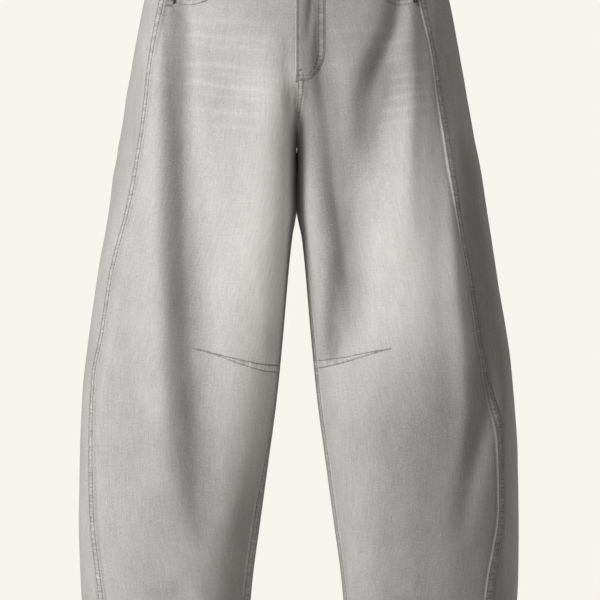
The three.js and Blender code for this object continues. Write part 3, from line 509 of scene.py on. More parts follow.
def stitched_bands(leg, s, z, x, y, front_length, back_length):
    """Distance across the nearest stitched band, and whether the band runs across the leg."""
    xs, zs = seen(SIDES[leg], x, y, z)
    along = np.where(z < BAND_Z - 3, np.abs(s), NO_BAND)
    inseam = s + front_length
    in_front = s < 0
    if leg == "L":
        along = np.minimum(along, np.where(in_front & (z < -193), np.abs(inseam - 4.6) * 1.05, NO_BAND))
        along = np.minimum(along, np.where(~in_front & (z > -290), np.abs(back_length - s - 5.0), NO_BAND))
    else:
        along = np.minimum(along, np.where(in_front & (z < -303), np.abs(inseam - 5.0), NO_BAND))
    upper, lower, tip = dart_lines(leg)
    middle, half = (upper(xs) + lower(xs)) / 2, (upper(xs) - lower(xs)) / 2
    dart = np.abs(zs - middle) - half + LINE + np.maximum(xs - tip, 0) * 0.7
    across = np.where(in_front & (z < CROTCH_Z) & (inseam > 9), dart, NO_BAND)
    below = (scoop_top(x) - z) / np.hypot(1, scoop_top(x + 0.5) - scoop_top(x - 0.5))
    across = np.minimum(across, np.where(in_front & (x > SCOOP_X) & (z > -125), np.abs(below - 5.0) * 1.07, NO_BAND))
    across = np.minimum(across, np.abs(z - HEM_FOLD_Z + 2.0) + LINE)
    return np.minimum(np.minimum(along, across), NO_BAND), (across < along).astype(float)


def meet(leg, x, y, z):
    """Draws the inner thighs together below the crotch, so that no light shows between them."""
    inner = CURVES["inner"](z)
    closed = np.where(z < CROTCH_Z, (inner - 0.3) * smooth(-400, -350, z), 0)
    x = x - closed * bell(x - inner, 9)
    bow = 1.7 * bell(y - 6, 26) * bell(x, 16) * smooth(-285, -300, z) * smooth(-410, -370, z)
    return SIDES[leg] * x - bow


def skin(leg, s, z, lift=0.0, known=None):
    """The dressed cloth's outer face at lengths s past the side seam and heights z."""
    s, z = np.broadcast_arrays(np.asarray(s, float), np.asarray(z, float))
    x, y, n, front_length, back_length = known or form(leg, s, z)
    out = relief(leg, x, y, z, n, s, front_length, back_length) + lift
    px, py, pz = x + n[..., 0] * out, y + n[..., 1] * out, z + n[..., 2] * out
    px = np.where(n[..., 0] < 0, np.maximum(px, 0.15 + 0.5 * np.maximum(x - 0.15, 0)), px)
    return np.stack([meet(leg, px, py, pz), py, pz], -1)


def column_length(share, z, full, top, bottom):
    """How far from the side seam a column lies: only those by the crotch move over in its zone."""
    t = smooth(CROTCH_TOP, CROTCH_BOTTOM, z)
    inside = (z < CROTCH_TOP) & (z > CROTCH_BOTTOM)
    held = np.where(inside, (1 - t) * top + t * bottom, full)
    return held * share + (full - held) * share ** CROTCH_HOLD


def grid_normals(points):
    across = np.gradient(points, axis=1)
    down = np.gradient(points, axis=0)
    n = np.cross(across, down)
    return n / np.maximum(np.linalg.norm(n, axis=-1, keepdims=True), 1e-9)


def tones(leg, x, y, z, n_y, out=0.0):
    """Fading, from 0, as dyed, to 1, with the whiskers on top, and painted shade and light: troughs are painted darker
    than ridges.
    """
    side = SIDES[leg]
    xs, zs = seen(side, x, y, z)
    fade = np.zeros_like(x)
    for face, share in (("front", smooth(-0.1, 0.7, -n_y)), ("back", smooth(-0.1, 0.7, n_y))):
        at, width, strength = tracks(FADES[(leg, face)], zs)
        fade += share * strength * bell(xs - at, width, 2.4)
    p = np.stack([side * x, y, z * 0.5], -1)
    # Random fading, and the relief painted in as shade in troughs and light on ridges
    fade += 0.10 * noise(p, 34, 51) + 0.05 * noise(p, 12, 52) + 0.042 * out
    wave = 2.2 * noise(np.stack([xs * 0.5, zs, np.full_like(xs, 3.0)], -1), 16, 61)
    for owner, x_mid, z_mid, length, width, slope, strength in WHISKERS:
        if owner == leg:
            off = zs - z_mid - slope * (xs - x_mid) + wave
            fade += (n_y < 0) * 0.5 * strength * bell(off, width) * bell(xs - x_mid, length, 3)
    # Painted shade from the table, and painted light where its strength is negative
    for owner, rows in PAINTED_SHADE_AND_LIGHT:
        if owner == leg:
            at, width, strength = tracks(rows, zs)
            fade -= smooth(0.1, 0.5, -n_y) * strength * bell(xs - at, width)
    if leg == "L":
        fade -= 0.5 * smooth(0.1, 0.6, -n_y) * smooth(95, 190, xs) * smooth(-500, -640, zs)
        fade -= 0.25 * smooth(0.1, 0.6, -n_y) * smooth(60, 20, xs) * smooth(-250, -180, zs)
        # Painted light on the left leg's lower outer flank, which faces away from the key
        fade += 0.5 * smooth(250, 266, xs) * smooth(-540, -660, zs)
    return np.clip(fade, -0.45, 1.35)


def mesh_object(name, vertices, faces, materials, smooth_shaded=True):
    """A mesh object from points in millimetres."""
    mesh = bpy.data.meshes.new(name)
    mesh.from_pydata((np.asarray(vertices) * MM).tolist(), [], faces)
    mesh.polygons.foreach_set("use_smooth", np.full(len(faces), smooth_shaded))
    for material in materials:
        mesh.materials.append(material)
    piece = bpy.data.objects.new(name, mesh)
    bpy.context.scene.collection.objects.link(piece)
    return piece


def declare(piece, node=None):
    """Says what a piece rides on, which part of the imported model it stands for."""
    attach(piece, "root")
    if node:
        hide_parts(node)
    return piece


def shell(name, outer, wall, uv, marks, materials, flip=False):
    """A closed thin shell: outer is its outer face's grid, wall how far in the inner face lies."""
    rows, columns = outer.shape[:2]
    n = grid_normals(outer)
    if flip:
        n = -n
    inner = outer - n * (wall[..., None] if hasattr(wall, "shape") else wall)
    count = rows * columns
    index = np.arange(count).reshape(rows, columns)
    a, b, c, d = index[:-1, :-1], index[:-1, 1:], index[1:, 1:], index[1:, :-1]
    outer_faces = np.stack([a, b, c, d], -1).reshape(-1, 4)
    if flip:
        outer_faces = outer_faces[:, ::-1]
    inner_faces = outer_faces[:, ::-1] + count
    ring = np.concatenate([index[0, :], index[1:, -1], index[-1, -2::-1], index[-2:0:-1, 0]])
    after = np.roll(ring, -1)
    walls = np.stack([ring + count, after + count, after, ring], -1)
    if flip:
        walls = walls[:, ::-1]
    vertices = np.concatenate([outer.reshape(-1, 3), inner.reshape(-1, 3)])
    faces = np.concatenate([outer_faces, inner_faces, walls])
    piece = mesh_object(name, vertices, faces.tolist(), materials)
    mesh = piece.data
    slots = np.zeros(len(faces), np.int32)
    if len(materials) > 1:
        slots[len(outer_faces):len(outer_faces) + len(inner_faces)] = 1
    mesh.polygons.foreach_set("material_index", slots)
    corners = np.empty(len(mesh.loops), np.int32)
    mesh.loops.foreach_get("vertex_index", corners)
    both = np.concatenate([uv.reshape(-1, 2), uv.reshape(-1, 2)]) * MM
    mesh.uv_layers.new(name="weave").data.foreach_set("uv", both[corners].astype(np.float32).ravel())
    plain = {"fade": 0.3, "wear_and_painted_shading": 0.0, "band": NO_BAND, "turned": 0.0}
    for mark in plain:
        values = np.broadcast_to(marks.get(mark, plain[mark]), outer.shape[:2])
        data = np.concatenate([values.ravel(), values.ravel()]).astype(np.float32)
        mesh.attributes.new(mark, "FLOAT", "POINT").data.foreach_set("value", data)
    mesh.update()
    return piece


# Materials
def sockets(node, values):
    for name, value in values.items():
        node.inputs[name].default_value = value


class Graph:
    """Small helper around a material's nodes."""

    def __init__(self, name):
        self.material = bpy.data.materials.new(name)
        self.material.use_nodes = True
        self.tree = self.material.node_tree
        self.tree.nodes.clear()
        self.output = self.add("ShaderNodeOutputMaterial")

    def add(self, kind, **settings):
        node = self.tree.nodes.new(kind)
        for key, value in settings.items():
            setattr(node, key, value)
        return node

    def link(self, source, target):
        if hasattr(source, "is_output"):
            self.tree.links.new(source, target)
        else:
            target.default_value = source

    def math(self, operation, a, b=None, c=None):
        node = self.add("ShaderNodeMath", operation=operation)
        for i, value in enumerate((a, b, c)):
            if value is not None:
                self.link(value, node.inputs[i])
        return node.outputs[0]

    def attribute(self, name):
        return self.add("ShaderNodeAttribute", attribute_name=name).outputs["Fac"]

    def scaled(self, vector, scale):
        node = self.add("ShaderNodeMapping")
        self.link(vector, node.inputs["Vector"])
        node.inputs["Scale"].default_value = scale
        return node.outputs[0]

    def noise(self, vector, detail=2.0, rough=0.5):
        node = self.add("ShaderNodeTexNoise")
        self.link(vector, node.inputs["Vector"])
        sockets(node, {"Scale": 1.0, "Detail": detail, "Roughness": rough})
        return node.outputs["Fac"]

    def mix(self, factor, a, b):
        node = self.add("ShaderNodeMix", data_type="RGBA")
        self.link(factor, node.inputs["Factor"])
        self.link(a, node.inputs[6])
        self.link(b, node.inputs[7])
        return node.outputs[2]

    def around(self, value, amount, base):
        """The base and, times an amount, how far a value of 0 to 1 lies from its middle."""
        return self.math("MULTIPLY_ADD", self.math("SUBTRACT", value, 0.5), amount, base)

    def bump(self, height, distance, strength=1.0):
        node = self.add("ShaderNodeBump")
        self.link(height, node.inputs["Height"])
        sockets(node, {"Distance": distance, "Strength": strength})
        return node.outputs["Normal"]

    def surface(self, color, roughness, normal=None, **values):
        shader = self.add("ShaderNodeBsdfPrincipled")
        self.link(color, shader.inputs["Base Color"])
        self.link(roughness, shader.inputs["Roughness"])
        if normal is not None:
            self.link(normal, shader.inputs["Normal"])
        sockets(shader, values)
        self.tree.links.new(shader.outputs[0], self.output.inputs[0])
        return self.material


def denim(name, dark, light, wear_and_shading_share=1.0):
    """Washed denim: twill lines, uneven yarns, fading and worn seams, with the painted shade and highlights that their
    marks carry.
    """
    g = Graph(name)
    weave = g.add("ShaderNodeUVMap", uv_map="weave").outputs[0]
    place = g.add("ShaderNodeTexCoord").outputs["Object"]
    warp = g.noise(g.scaled(weave, (760, 46, 1)), 3.0, 0.6)
    weft = g.noise(g.scaled(weave, (60, 820, 1)), 2.0, 0.6)
    grain = g.noise(g.scaled(weave, (620, 430, 1)), 3.0, 0.7)
    long_warp = g.noise(g.scaled(weave, (330, 9, 1)), 2.0, 0.6)
    cloudy = g.noise(g.scaled(place, (26, 26, 18)), 3.0, 0.6)
    split = g.add("ShaderNodeSeparateXYZ")
    g.link(weave, split.inputs[0])
    diagonal = g.math("ADD", g.math("MULTIPLY", split.outputs[0], 2 * math.pi / 0.00095),
                      g.math("MULTIPLY", split.outputs[1], 2 * math.pi / 0.0014))
    twill = g.math("SINE", diagonal)
    fade = g.around(grain, 1.3, g.around(cloudy, 0.34, g.attribute("fade")))
    cloth = g.mix(g.math("MULTIPLY_ADD", fade, 0.626, 0.296), dark, light)
    tint = g.around(long_warp, 0.16, g.around(weft, 0.22, g.around(warp, 0.5, 1.0)))
    tint = g.math("MULTIPLY_ADD", twill, 0.035, tint)
    tint = g.math("MULTIPLY_ADD", g.attribute("wear_and_painted_shading"), 0.34 * wear_and_shading_share, tint)
    band = g.attribute("band")
    off = g.math("DIVIDE", g.math("SUBTRACT", band, LINE), 0.62)
    line = g.math("EXPONENT", g.math("MULTIPLY", g.math("MULTIPLY", off, off), -1.0))
    inside = g.add("ShaderNodeMapRange", interpolation_type="SMOOTHSTEP")
    g.link(band, inside.inputs["Value"])
    sockets(inside, {"From Min": 5.4, "From Max": 3.4, "To Min": 0.0, "To Max": 1.0})
    rungs = g.add("ShaderNodeMix", data_type="FLOAT")
    g.link(g.attribute("turned"), rungs.inputs[0])
    g.link(g.noise(g.scaled(weave, (60, 400, 1)), 1.0, 0.5), rungs.inputs[2])
    g.link(g.noise(g.scaled(weave, (360, 60, 1)), 1.0, 0.5), rungs.inputs[3])
    rung = g.math("MULTIPLY", g.math("SUBTRACT", rungs.outputs[0], 0.5), inside.outputs[0])
    tint = g.math("MULTIPLY_ADD", line, -0.40 * wear_and_shading_share, tint)
    tint = g.math("MULTIPLY_ADD", rung, 1.15 * wear_and_shading_share, tint)
    scale = g.add("ShaderNodeVectorMath", operation="SCALE")
    g.link(cloth, scale.inputs[0])
    g.link(tint, scale.inputs["Scale"])
    height = g.math("ADD", g.math("MULTIPLY", twill, 0.22), g.math("ADD", warp, g.math("MULTIPLY", weft, 0.5)))
    height = g.math("MULTIPLY_ADD", rung, 5.0, g.math("MULTIPLY_ADD", line, -1.2, height))
    return g.surface(scale.outputs[0], 0.92, g.bump(height, 0.00035, 0.55),
                     **{"Specular IOR Level": 0.22, "Sheen Weight": 0.18, "Sheen Roughness": 0.55})


def plain_cloth(name, color, across=700, along=700):
    g = Graph(name)
    place = g.add("ShaderNodeTexCoord").outputs["Object"]
    yarn = g.noise(g.scaled(place, (across, across, along)), 2.0, 0.6)
    lighter = tuple(min(1.0, v * 1.3) for v in color[:3]) + (1.0,)
    darker = tuple(v * 0.72 for v in color[:3]) + (1.0,)
    return g.surface(g.mix(yarn, darker, lighter), 0.85, g.bump(yarn, 0.0002, 0.6),
                     **{"Specular IOR Level": 0.3, "Sheen Weight": 0.15, "Sheen Roughness": 0.5})


def metal(name, color, rough):
    g = Graph(name)
    place = g.add("ShaderNodeTexCoord").outputs["Object"]
    patina = g.noise(g.scaled(place, (420, 420, 420)), 4.0, 0.6)
    lighter = tuple(min(1.0, v * 2.0) for v in color[:3]) + (1.0,)
    roughness = g.math("MULTIPLY_ADD", patina, 0.3, rough - 0.15)
    return g.surface(g.mix(g.math("MULTIPLY", patina, 0.8), color, lighter), roughness,
                     g.bump(patina, 0.0001, 0.4), Metallic=0.9)


CLOTH_DARK = (0.25, 0.241, 0.239, 1.0)
CLOTH_LIGHT = (0.64, 0.622, 0.618, 1.0)
DENIM = denim("denim_face", CLOTH_DARK, CLOTH_LIGHT)
DENIM_BACK = denim("denim_reverse", (0.50, 0.485, 0.475, 1.0), (0.64, 0.625, 0.615, 1.0), 0.2)
THREAD = plain_cloth("topstitch_thread", (0.25, 0.24, 0.235, 1.0), 2600, 2600)
TAPE = plain_cloth("zip_tape_cloth", (0.20, 0.195, 0.19, 1.0), 1500, 900)
DARK_METAL = metal("aged_metal", (0.085, 0.08, 0.076, 1.0), 0.42)
FACES = [DENIM, DENIM_BACK]


# Panels
LEVELS = np.concatenate([
    np.arange(-162.8, -339, -2.8), np.arange(-340, -529, -3.2), np.arange(-530, -586, -1.6),
    np.arange(-587, -958, -3.2), np.arange(-960, -989.5, -2.0), [HEM_Z],
])
TOP_ROWS = 44
EDGE = np.linspace(0, 1, 20)[:-1]
MIDDLE = np.linspace(0.045, 0.955, 62)
LAST = np.linspace(0, 1, 19)[1:]
COLUMNS = len(EDGE) + len(MIDDLE) + len(LAST)


def column_lengths(leg, face, z, start, past):
    """Distances from the side seam of a panel's columns: start at the seam, past beyond the inner edge."""
    which = 0 if face == "front" else 1
    full = spans(leg, z)[which]
    ends = [spans(leg, np.array([level]))[which][0] for level in (CROTCH_TOP, CROTCH_BOTTOM)]
    a, b = len(EDGE), len(EDGE) + len(MIDDLE)
    length = np.empty(z.shape)
    near = column_length(MIDDLE[0], z[:, :a], full[:, :a], *ends)
    length[:, :a] = start + EDGE * (near - start)
    length[:, a:b] = column_length(MIDDLE, z[:, a:b], full[:, a:b], *ends)
    far = column_length(MIDDLE[-1], z[:, b:], full[:, b:], *ends)
    length[:, b:] = far + LAST * (full[:, b:] + past * smooth(-300, -330, z[:, b:]) - far)
    return length


def panel_levels(top):
    upper = top + np.linspace(0, 1, TOP_ROWS)[:, None] * (-160 - top)
    return np.concatenate([upper, np.repeat(LEVELS[:, None], len(top), 1)])


YOKE_SIDE_Z, YOKE_MIDDLE_Z, YOKE_BOW = -76.0, -118.0, 1.15


def dressed(leg, s, z, lift):
    """Points of a panel with its weave coordinates and marks."""
    known = form(leg, s, z)
    x, y, n, front_length, back_length = known
    out = relief(leg, x, y, z, n, s, front_length, back_length)
    marks = {
        "fade": tones(leg, x, y, z, n[..., 1], out),
        "wear_and_painted_shading": wear_and_painted_shading(leg, s, z, front_length),
    }
    marks["band"], marks["turned"] = stitched_bands(leg, s, z, x, y, front_length, back_length)
    return skin(leg, s, z, lift, known), np.stack([s, z], -1), marks


def hem_lift(z, s):
    puckers = noise(np.stack([s * 0.9 + z * 0.6, z * 0.3, np.zeros_like(z)], -1), 9, 71)
    below = smooth(HEM_FOLD_Z + 3, HEM_FOLD_Z - 2, z)
    return below * (0.45 + 0.5 * puckers) - 0.5 * bell(z - HEM_FOLD_Z, 2.0)


def cloth_piece(node, outer, wall, uv, marks, flip, materials=None):
    """A shell for one node, declared in that node's place. Bands, loops and the fly show one face all round."""
    one_face = node in ("waistband", "fly") or node.startswith("loop_")
    materials = materials or ([DENIM, DENIM] if one_face else FACES)
    piece = declare(shell("cloth_" + node, outer, wall, uv, marks, materials, flip), node)


def front_panel(leg):
    flat_z = np.full((1, COLUMNS), BAND_Z)
    at_band = column_lengths(leg, "front", flat_z, -LAP_REACH, LAP_REACH)
    x = form(leg, np.minimum(-at_band, 0), flat_z)[0][0]
    z = panel_levels(scoop_top(x))
    s = -column_lengths(leg, "front", z, -LAP_REACH, LAP_REACH)
    front_length = spans(leg, z)[0]
    inner_share = smooth(-205, -212, z) if leg == "L" else smooth(-297, -306, z)
    lift = LAP * smooth(-6.9, -5.3, s) + 1.0 * inner_share * smooth(11.2, 9.6, s + front_length) + hem_lift(z, s)
    lift = np.maximum(lift, 0.55 * smooth(11, 9.5, z[0] - z) * (z[0] < BAND_Z - 1))
    outer, uv, marks = dressed(leg, s, z, lift)
    wall = np.where(z < HEM_FOLD_Z, HEM_CLOTH, CLOTH)
    cloth_piece(f"front_{NAMES[leg]}", outer, wall, uv, marks, leg == "R")


def yoke_seam(share):
    return YOKE_SIDE_Z + (YOKE_MIDDLE_Z - YOKE_SIDE_Z) * share ** YOKE_BOW


def back_shares(leg, z):
    s = column_lengths(leg, "back", z, 0.5, 0.0)
    return s, np.clip(s / spans(leg, z)[1], 0, 1)


def middle_lap(leg, s, z):
    """The wearer's left half laps over the right along the middle of the back."""
    return LAP * smooth(11.2, 9.6, spans(leg, z)[1] - s) * smooth(-299, -285, z) if leg == "L" else 0.0


def back_panel(leg):
    share = back_shares(leg, np.full((1, COLUMNS), -100.0))[1][0]
    z = panel_levels(yoke_seam(share) + 1.0)
    s = column_lengths(leg, "back", z, 0.5, 0.0)
    outer, uv, marks = dressed(leg, s, z, hem_lift(z, s) + middle_lap(leg, s, z))
    wall = np.where(z < HEM_FOLD_Z, HEM_CLOTH, CLOTH)
    cloth_piece(f"back_{NAMES[leg]}", outer, wall, uv, marks, leg == "L")


def yoke(leg):
    share = back_shares(leg, np.full((1, COLUMNS), -80.0))[1][0]
    low = yoke_seam(share) - 4.0
    z = BAND_Z + np.linspace(0, 1, 30)[:, None] * (low - BAND_Z)
    s = column_lengths(leg, "back", z, 0.5, 0.0)
    above = z - low
    lift = LAP * smooth(9.4, 8.0, above) + middle_lap(leg, s, z)
    lift += 0.3 * bell(above - 4, 6.0, 4) * ladder(s, above, 23)
    outer, uv, marks = dressed(leg, s, z, lift)
    marks["wear_and_painted_shading"] = marks["wear_and_painted_shading"] + 0.3 * bell(above - 4, 6.0, 4) * ladder(s, above, 23)
    seam_band = np.abs(above - 4.2)
    marks["turned"] = np.where(seam_band < marks["band"], 1.0, marks["turned"])
    marks["band"] = np.minimum(marks["band"], seam_band)
    cloth_piece(f"yoke_{NAMES[leg]}", outer, CLOTH, uv, marks, leg == "L")


def facing(leg):
    z = np.linspace(-32, -125.5, 30)[:, None] * np.ones(40)
    x_out = SEAM[leg](z)
    s_out = arc_at_x(leg, "front", x_out, z) + 5
    s_in = arc_at_x(leg, "front", np.full(z.shape, 84.0), z)
    s = s_in + np.linspace(0, 1, 40) * (s_out - s_in)
    outer, uv, marks = dressed(leg, s, z, -1.7)
    marks["fade"] = marks["fade"] * 0.3
    marks["wear_and_painted_shading"] = marks["wear_and_painted_shading"] * 0
    marks["band"] = marks["band"] * 0 + NO_BAND
    cloth_piece(f"facing_{NAMES[leg]}", outer, CLOTH, uv, marks, leg == "L")


for leg in "RL":
    front_panel(leg)
    back_panel(leg)
    yoke(leg)
    facing(leg)


# Fly, waistband, loops and pockets
def front_spot(x, z):
    """For places in front, given left and right of the middle: side, and length past the side seam."""
    return arc_at_x("R", "front", np.maximum(-x, 0), z), arc_at_x("L", "front", np.maximum(x, 0), z)


def front_skin(x, z, lift):
    """The dressed cloth in front at signed distances from the middle."""
    right, left = front_spot(x, z)
    on_right = (x < 0)[..., None]
    lift = np.broadcast_to(lift, x.shape)
    points = np.where(on_right, skin("R", right, z, lift), skin("L", left, z, lift))
    near = (np.abs(x) < 1.0)[..., None]
    blended = 0.5 * (skin("R", right, z, lift) + skin("L", left, z, lift))
    blended[..., 0] = x
    return np.where(near, blended, points), np.stack([np.where(x < 0, -right - 400, left), z], -1)


def front_marks(x, z):
    marks = []
    for leg, s in zip("RL", front_spot(x, z)):
        px, py, n, _, _ = form(leg, s, z)
        marks.append(tones(leg, px, py, z, n[..., 1]))
    return np.where(x < 0, *marks)


FLY_FOLD_X, FLY_WIDTH, FLY_CURVE_Z, FLY_END_Z = -2.5, 35.5, -165.0, -210.5


def fly():
    rows, columns = 90, 26
    z = (BAND_Z + np.linspace(0, 1, rows) * (FLY_END_Z + 1 - BAND_Z))[:, None] * np.ones(columns)
    fall = np.clip((FLY_CURVE_Z - z) / (FLY_CURVE_Z - FLY_END_Z), 0, 1)
    edge = FLY_WIDTH * np.sqrt(1 - fall ** 2)
    share = np.linspace(0, 1, columns) ** 1.15
    x = FLY_FOLD_X + share * (edge - FLY_FOLD_X)
    inset = np.minimum(edge - x, (z - FLY_END_Z) * 0.8)
    lift = 0.16 + 0.75 * smooth(1, 18, inset) + 0.3 * bell(x - FLY_FOLD_X, 2.2)
    lift -= 0.3 * bell(x - 1.9, 1.1)
    by_stitches = smooth(12, 5, inset)
    lift += 0.2 * noise(np.stack([x * 0.4, z, np.zeros_like(z)], -1), 7, 81) * by_stitches * smooth(0, 3, inset)
    lift += 0.15 * noise(np.stack([x, z, np.zeros_like(z) + 9], -1), 13, 82) * smooth(0, 5, inset)
    lift = np.maximum(lift, 0.14)
    outer, uv = front_skin(x, z, lift)
    mark = 0.4 * bell(x - FLY_FOLD_X - 0.8, 0.8)
    mark += 0.5 * noise(np.stack([x * 0.4, z, np.zeros_like(z)], -1), 6, 81) * by_stitches
    # The fly's fade takes the painted shade of its fold from the shade table
    marks = {"fade": front_marks(x, z) - 0.05, "wear_and_painted_shading": mark,
             "band": np.minimum(np.abs(inset - 5.35) * 1.12, np.abs(x - 1.9) + LINE)}
    wall = lift - 0.05
    cloth_piece("fly", outer, wall, uv, marks, False)


BAND_FOOT_Z = BAND_Z - 1.6
UNDERLAP_END_X, UNDERLAP_DEPTH, BAND_COLUMNS, WEAVE_START = 34.0, -2.7, 130, 900


def band_block(leg, s, z, depth, along):
    """One stretch of the waistband: its points, weave coordinates and marks."""
    z = np.broadcast_to(z, s.shape)
    along = along * np.ones_like(z)
    x, y, n, _, _ = form(leg, s, z)
    puckers = noise(np.stack([along, z * 0.5, np.zeros_like(z)], -1), 6, 91)
    edge = np.minimum(-z, z - BAND_FOOT_Z)
    lift = 1.7 + depth - 0.9 * bell(edge, 1.4) - 0.25 * bell(edge - 3.2, 1.0)
    lift = lift + 0.22 * puckers * bell(edge - 4, 6)
    return {
        "points": skin(leg, s, z, lift), "uv": np.stack([z, along], -1),
        "band": np.minimum(np.abs(z + 3.4), np.abs(z - BAND_Z - 1.8)) + LINE,
        "fade": tones(leg, x, y, z, n[..., 1]) * 0.8 + 0.04,
        "wear_and_painted_shading": 0.6 * bell(edge, 1.5) + 0.5 * puckers * bell(edge - 4, 5)
        - 0.4 * bell(edge - 3.2, 0.9),
    }


def waistband():
    """From its end under the fly, round the wearer's right, back and left, to the end that laps over in front."""
    z = np.linspace(0, 1, 26)[:, None] * BAND_FOOT_Z
    (right_front, right_back), (left_front, left_back) = (spans(leg, z) for leg in "RL")
    share = np.linspace(0, 1, BAND_COLUMNS)
    x_under = np.ones(z.shape) * np.linspace(UNDERLAP_END_X, 0.5, 12)
    x_over = np.ones(z.shape) * np.linspace(-0.6, -2.5, 3)
    right, left = share * (right_front + right_back), share * (left_front + left_back)
    start = WEAVE_START + 5
    blocks = [
        band_block("L", arc_at_x("L", "front", x_under, z * np.ones(12)), z, UNDERLAP_DEPTH, WEAVE_START - x_under),
        band_block("R", -right_front + 0.5 + (right_front + right_back - 1.0) * share, z,
                   UNDERLAP_DEPTH * smooth(30, 8, right), start + right),
        band_block("L", left_back - 0.5 - (left_front + left_back - 0.5) * share, z, 0.0, start + right[:, -1:] + left),
        band_block("R", arc_at_x("R", "front", -x_over, z * np.ones(3)), z, 0.0,
                   start + right[:, -1:] + left[:, -1:] - x_over),
    ]
    whole = {key: np.concatenate([block[key] for block in blocks], 1) for key in blocks[0]}
    cloth_piece("waistband", whole["points"], 2.0, whole["uv"], whole, True)


LOOP_ROWS = ((-1.0, 1.5), (-3.0, 2.4), (-6.0, 3.0), (-9.0, 4.2), (-13.0, 5.2), (-18.0, 5.6), (-30.0, 5.6),
    (-36.0, 5.4), (-41.0, 4.9), (-44.0, 3.6), (-47.0, 2.4), (-50.0, 1.9), (-56.0, 1.8))
LOOPS = (("loop_front_wearer_right", "R", "front", 82), ("loop_front_wearer_left", "L", "front", 82),
         ("loop_back_wearer_right", "R", "back", 118), ("loop_back_wearer_left", "L", "back", 118),
         ("loop_back_middle", "L", "back", 0))
LOOP_WIDTH = 11.0
LOOP_FLIP = {"loop_front_wearer_right": True, "loop_front_wearer_left": False, "loop_back_wearer_right": True,
             "loop_back_wearer_left": False, "loop_back_middle": False}


def loop_spots(leg, face, x_mid, z, across):
    """Whose cloth a loop lies on, and the lengths past its side seam, from widths off the loop's middle."""
    if x_mid:
        middle = arc_at_x(leg, face, np.full(z.shape, float(x_mid)), z)
        return {leg: (middle + across, np.ones(z.shape, bool))}
    return {owner: (spans(owner, z)[1] - np.abs(across), across < 0 if owner == "R" else across >= 0) for owner in "RL"}


def belt_loop(name, leg, face, x_mid):
    profile = curve([r[0] for r in LOOP_ROWS], [r[1] for r in LOOP_ROWS])
    z = np.linspace(-1.0, -56.0, 60)[:, None] * np.ones(13)
    across = np.linspace(-0.5, 0.5, 13) * LOOP_WIDTH * np.ones(z.shape)
    reach = np.abs(across) * 2 / LOOP_WIDTH
    lift = profile(z) + 0.35 * smooth(0.55, 0.75, reach) - 0.35 * smooth(0.9, 1.0, reach)
    lift = lift + 0.1 * noise(np.stack([across, z, np.full(z.shape, x_mid)], -1), 4, 95)
    points = np.empty(z.shape + (3,))
    for owner, (s, mine) in loop_spots(leg, face, x_mid, z, across).items():
        points[mine] = skin(owner, s, z, lift)[mine]
    marks = {"fade": np.full(z.shape, 0.35), "wear_and_painted_shading": 0.7 * smooth(0.8, 1.0, reach),
             "band": np.abs(np.abs(across) - 3.3) + LINE}
    cloth_piece(name, points, 1.3, np.stack([across + x_mid, z], -1), marks, LOOP_FLIP[name])


PATCH_NEAR, PATCH_WIDTH, PATCH_NARROWING, PATCH_TOP, PATCH_HEIGHT, PATCH_POINT = 40.0, 132.0, 9.0, -130.0, 124.0, 18.0


def patch_spot(leg, u, v):
    """A place on the back pocket from its shares across and down."""
    low = PATCH_TOP - PATCH_HEIGHT - PATCH_POINT * (1 - np.abs(2 * u - 1))
    z = PATCH_TOP + v * (low - PATCH_TOP)
    narrowing = PATCH_NARROWING * v
    from_middle = PATCH_NEAR + narrowing + u * (PATCH_WIDTH - 2 * narrowing)
    return spans(leg, z)[1] - from_middle, z


def back_pocket(leg):
    u = np.linspace(0, 1, 60) * np.ones((70, 1))
    v = np.linspace(0, 1, 70)[:, None] * np.ones(60)
    s, z = patch_spot(leg, u, v)
    side = np.minimum(u, 1 - u) * PATCH_WIDTH
    low = (1 - v) * PATCH_HEIGHT
    top = v * (PATCH_HEIGHT + PATCH_POINT)
    edge = np.minimum(side, low)
    hem = smooth(24, 22, top)
    puckers = noise(np.stack([s, z, np.zeros_like(z)], -1), 5, 101)
    lift = 1.35 + 0.4 * smooth(11, 9, edge) + 0.45 * hem - 0.7 * bell(np.minimum(edge, top), 1.1)
    lift += (0.22 * bell(edge - 4, 5) + 0.2 * bell(top - 21, 5)) * puckers
    outer, uv, marks = dressed(leg, s, z, lift)
    marks["wear_and_painted_shading"] = (0.75 * bell(np.minimum(edge, top), 1.5) + 0.5 * puckers * bell(edge - 4, 5)
                     - 0.3 * bell(edge - 11.5, 1.5) - 0.3 * bell(top - 24.5, 1.5)
                     + 0.4 * puckers * bell(top - 21, 5))
    marks["fade"] = marks["fade"] + 0.1
    marks["band"] = np.minimum(np.where(top > 21, np.abs(edge - 5.0) * 1.07, NO_BAND),
                               np.minimum(np.abs(top - 3.0), np.abs(top - 21.0)) + LINE)
    marks["turned"] = (low < side).astype(float)
    cloth_piece(f"back_pocket_{NAMES[leg]}", outer, 1.1, uv, marks, leg == "R")


fly()
waistband()
for loop in LOOPS:
    belt_loop(*loop)
for leg in "RL":
    back_pocket(leg)


# Stitching
def surface_line(leg, s, z, lift):
    """Points and outward directions along a line on the dressed cloth."""
    s, z, lift = np.broadcast_arrays(np.asarray(s, float), np.asarray(z, float), np.asarray(lift, float))
    p = skin(leg, s, z, lift)
    across = skin(leg, s + 0.8, z, lift) - p
    up = skin(leg, s, z + 0.8, lift) - p
    n = SIDES[leg] * np.cross(across, up)
    return p, n / np.maximum(np.linalg.norm(n, axis=-1, keepdims=True), 1e-9)


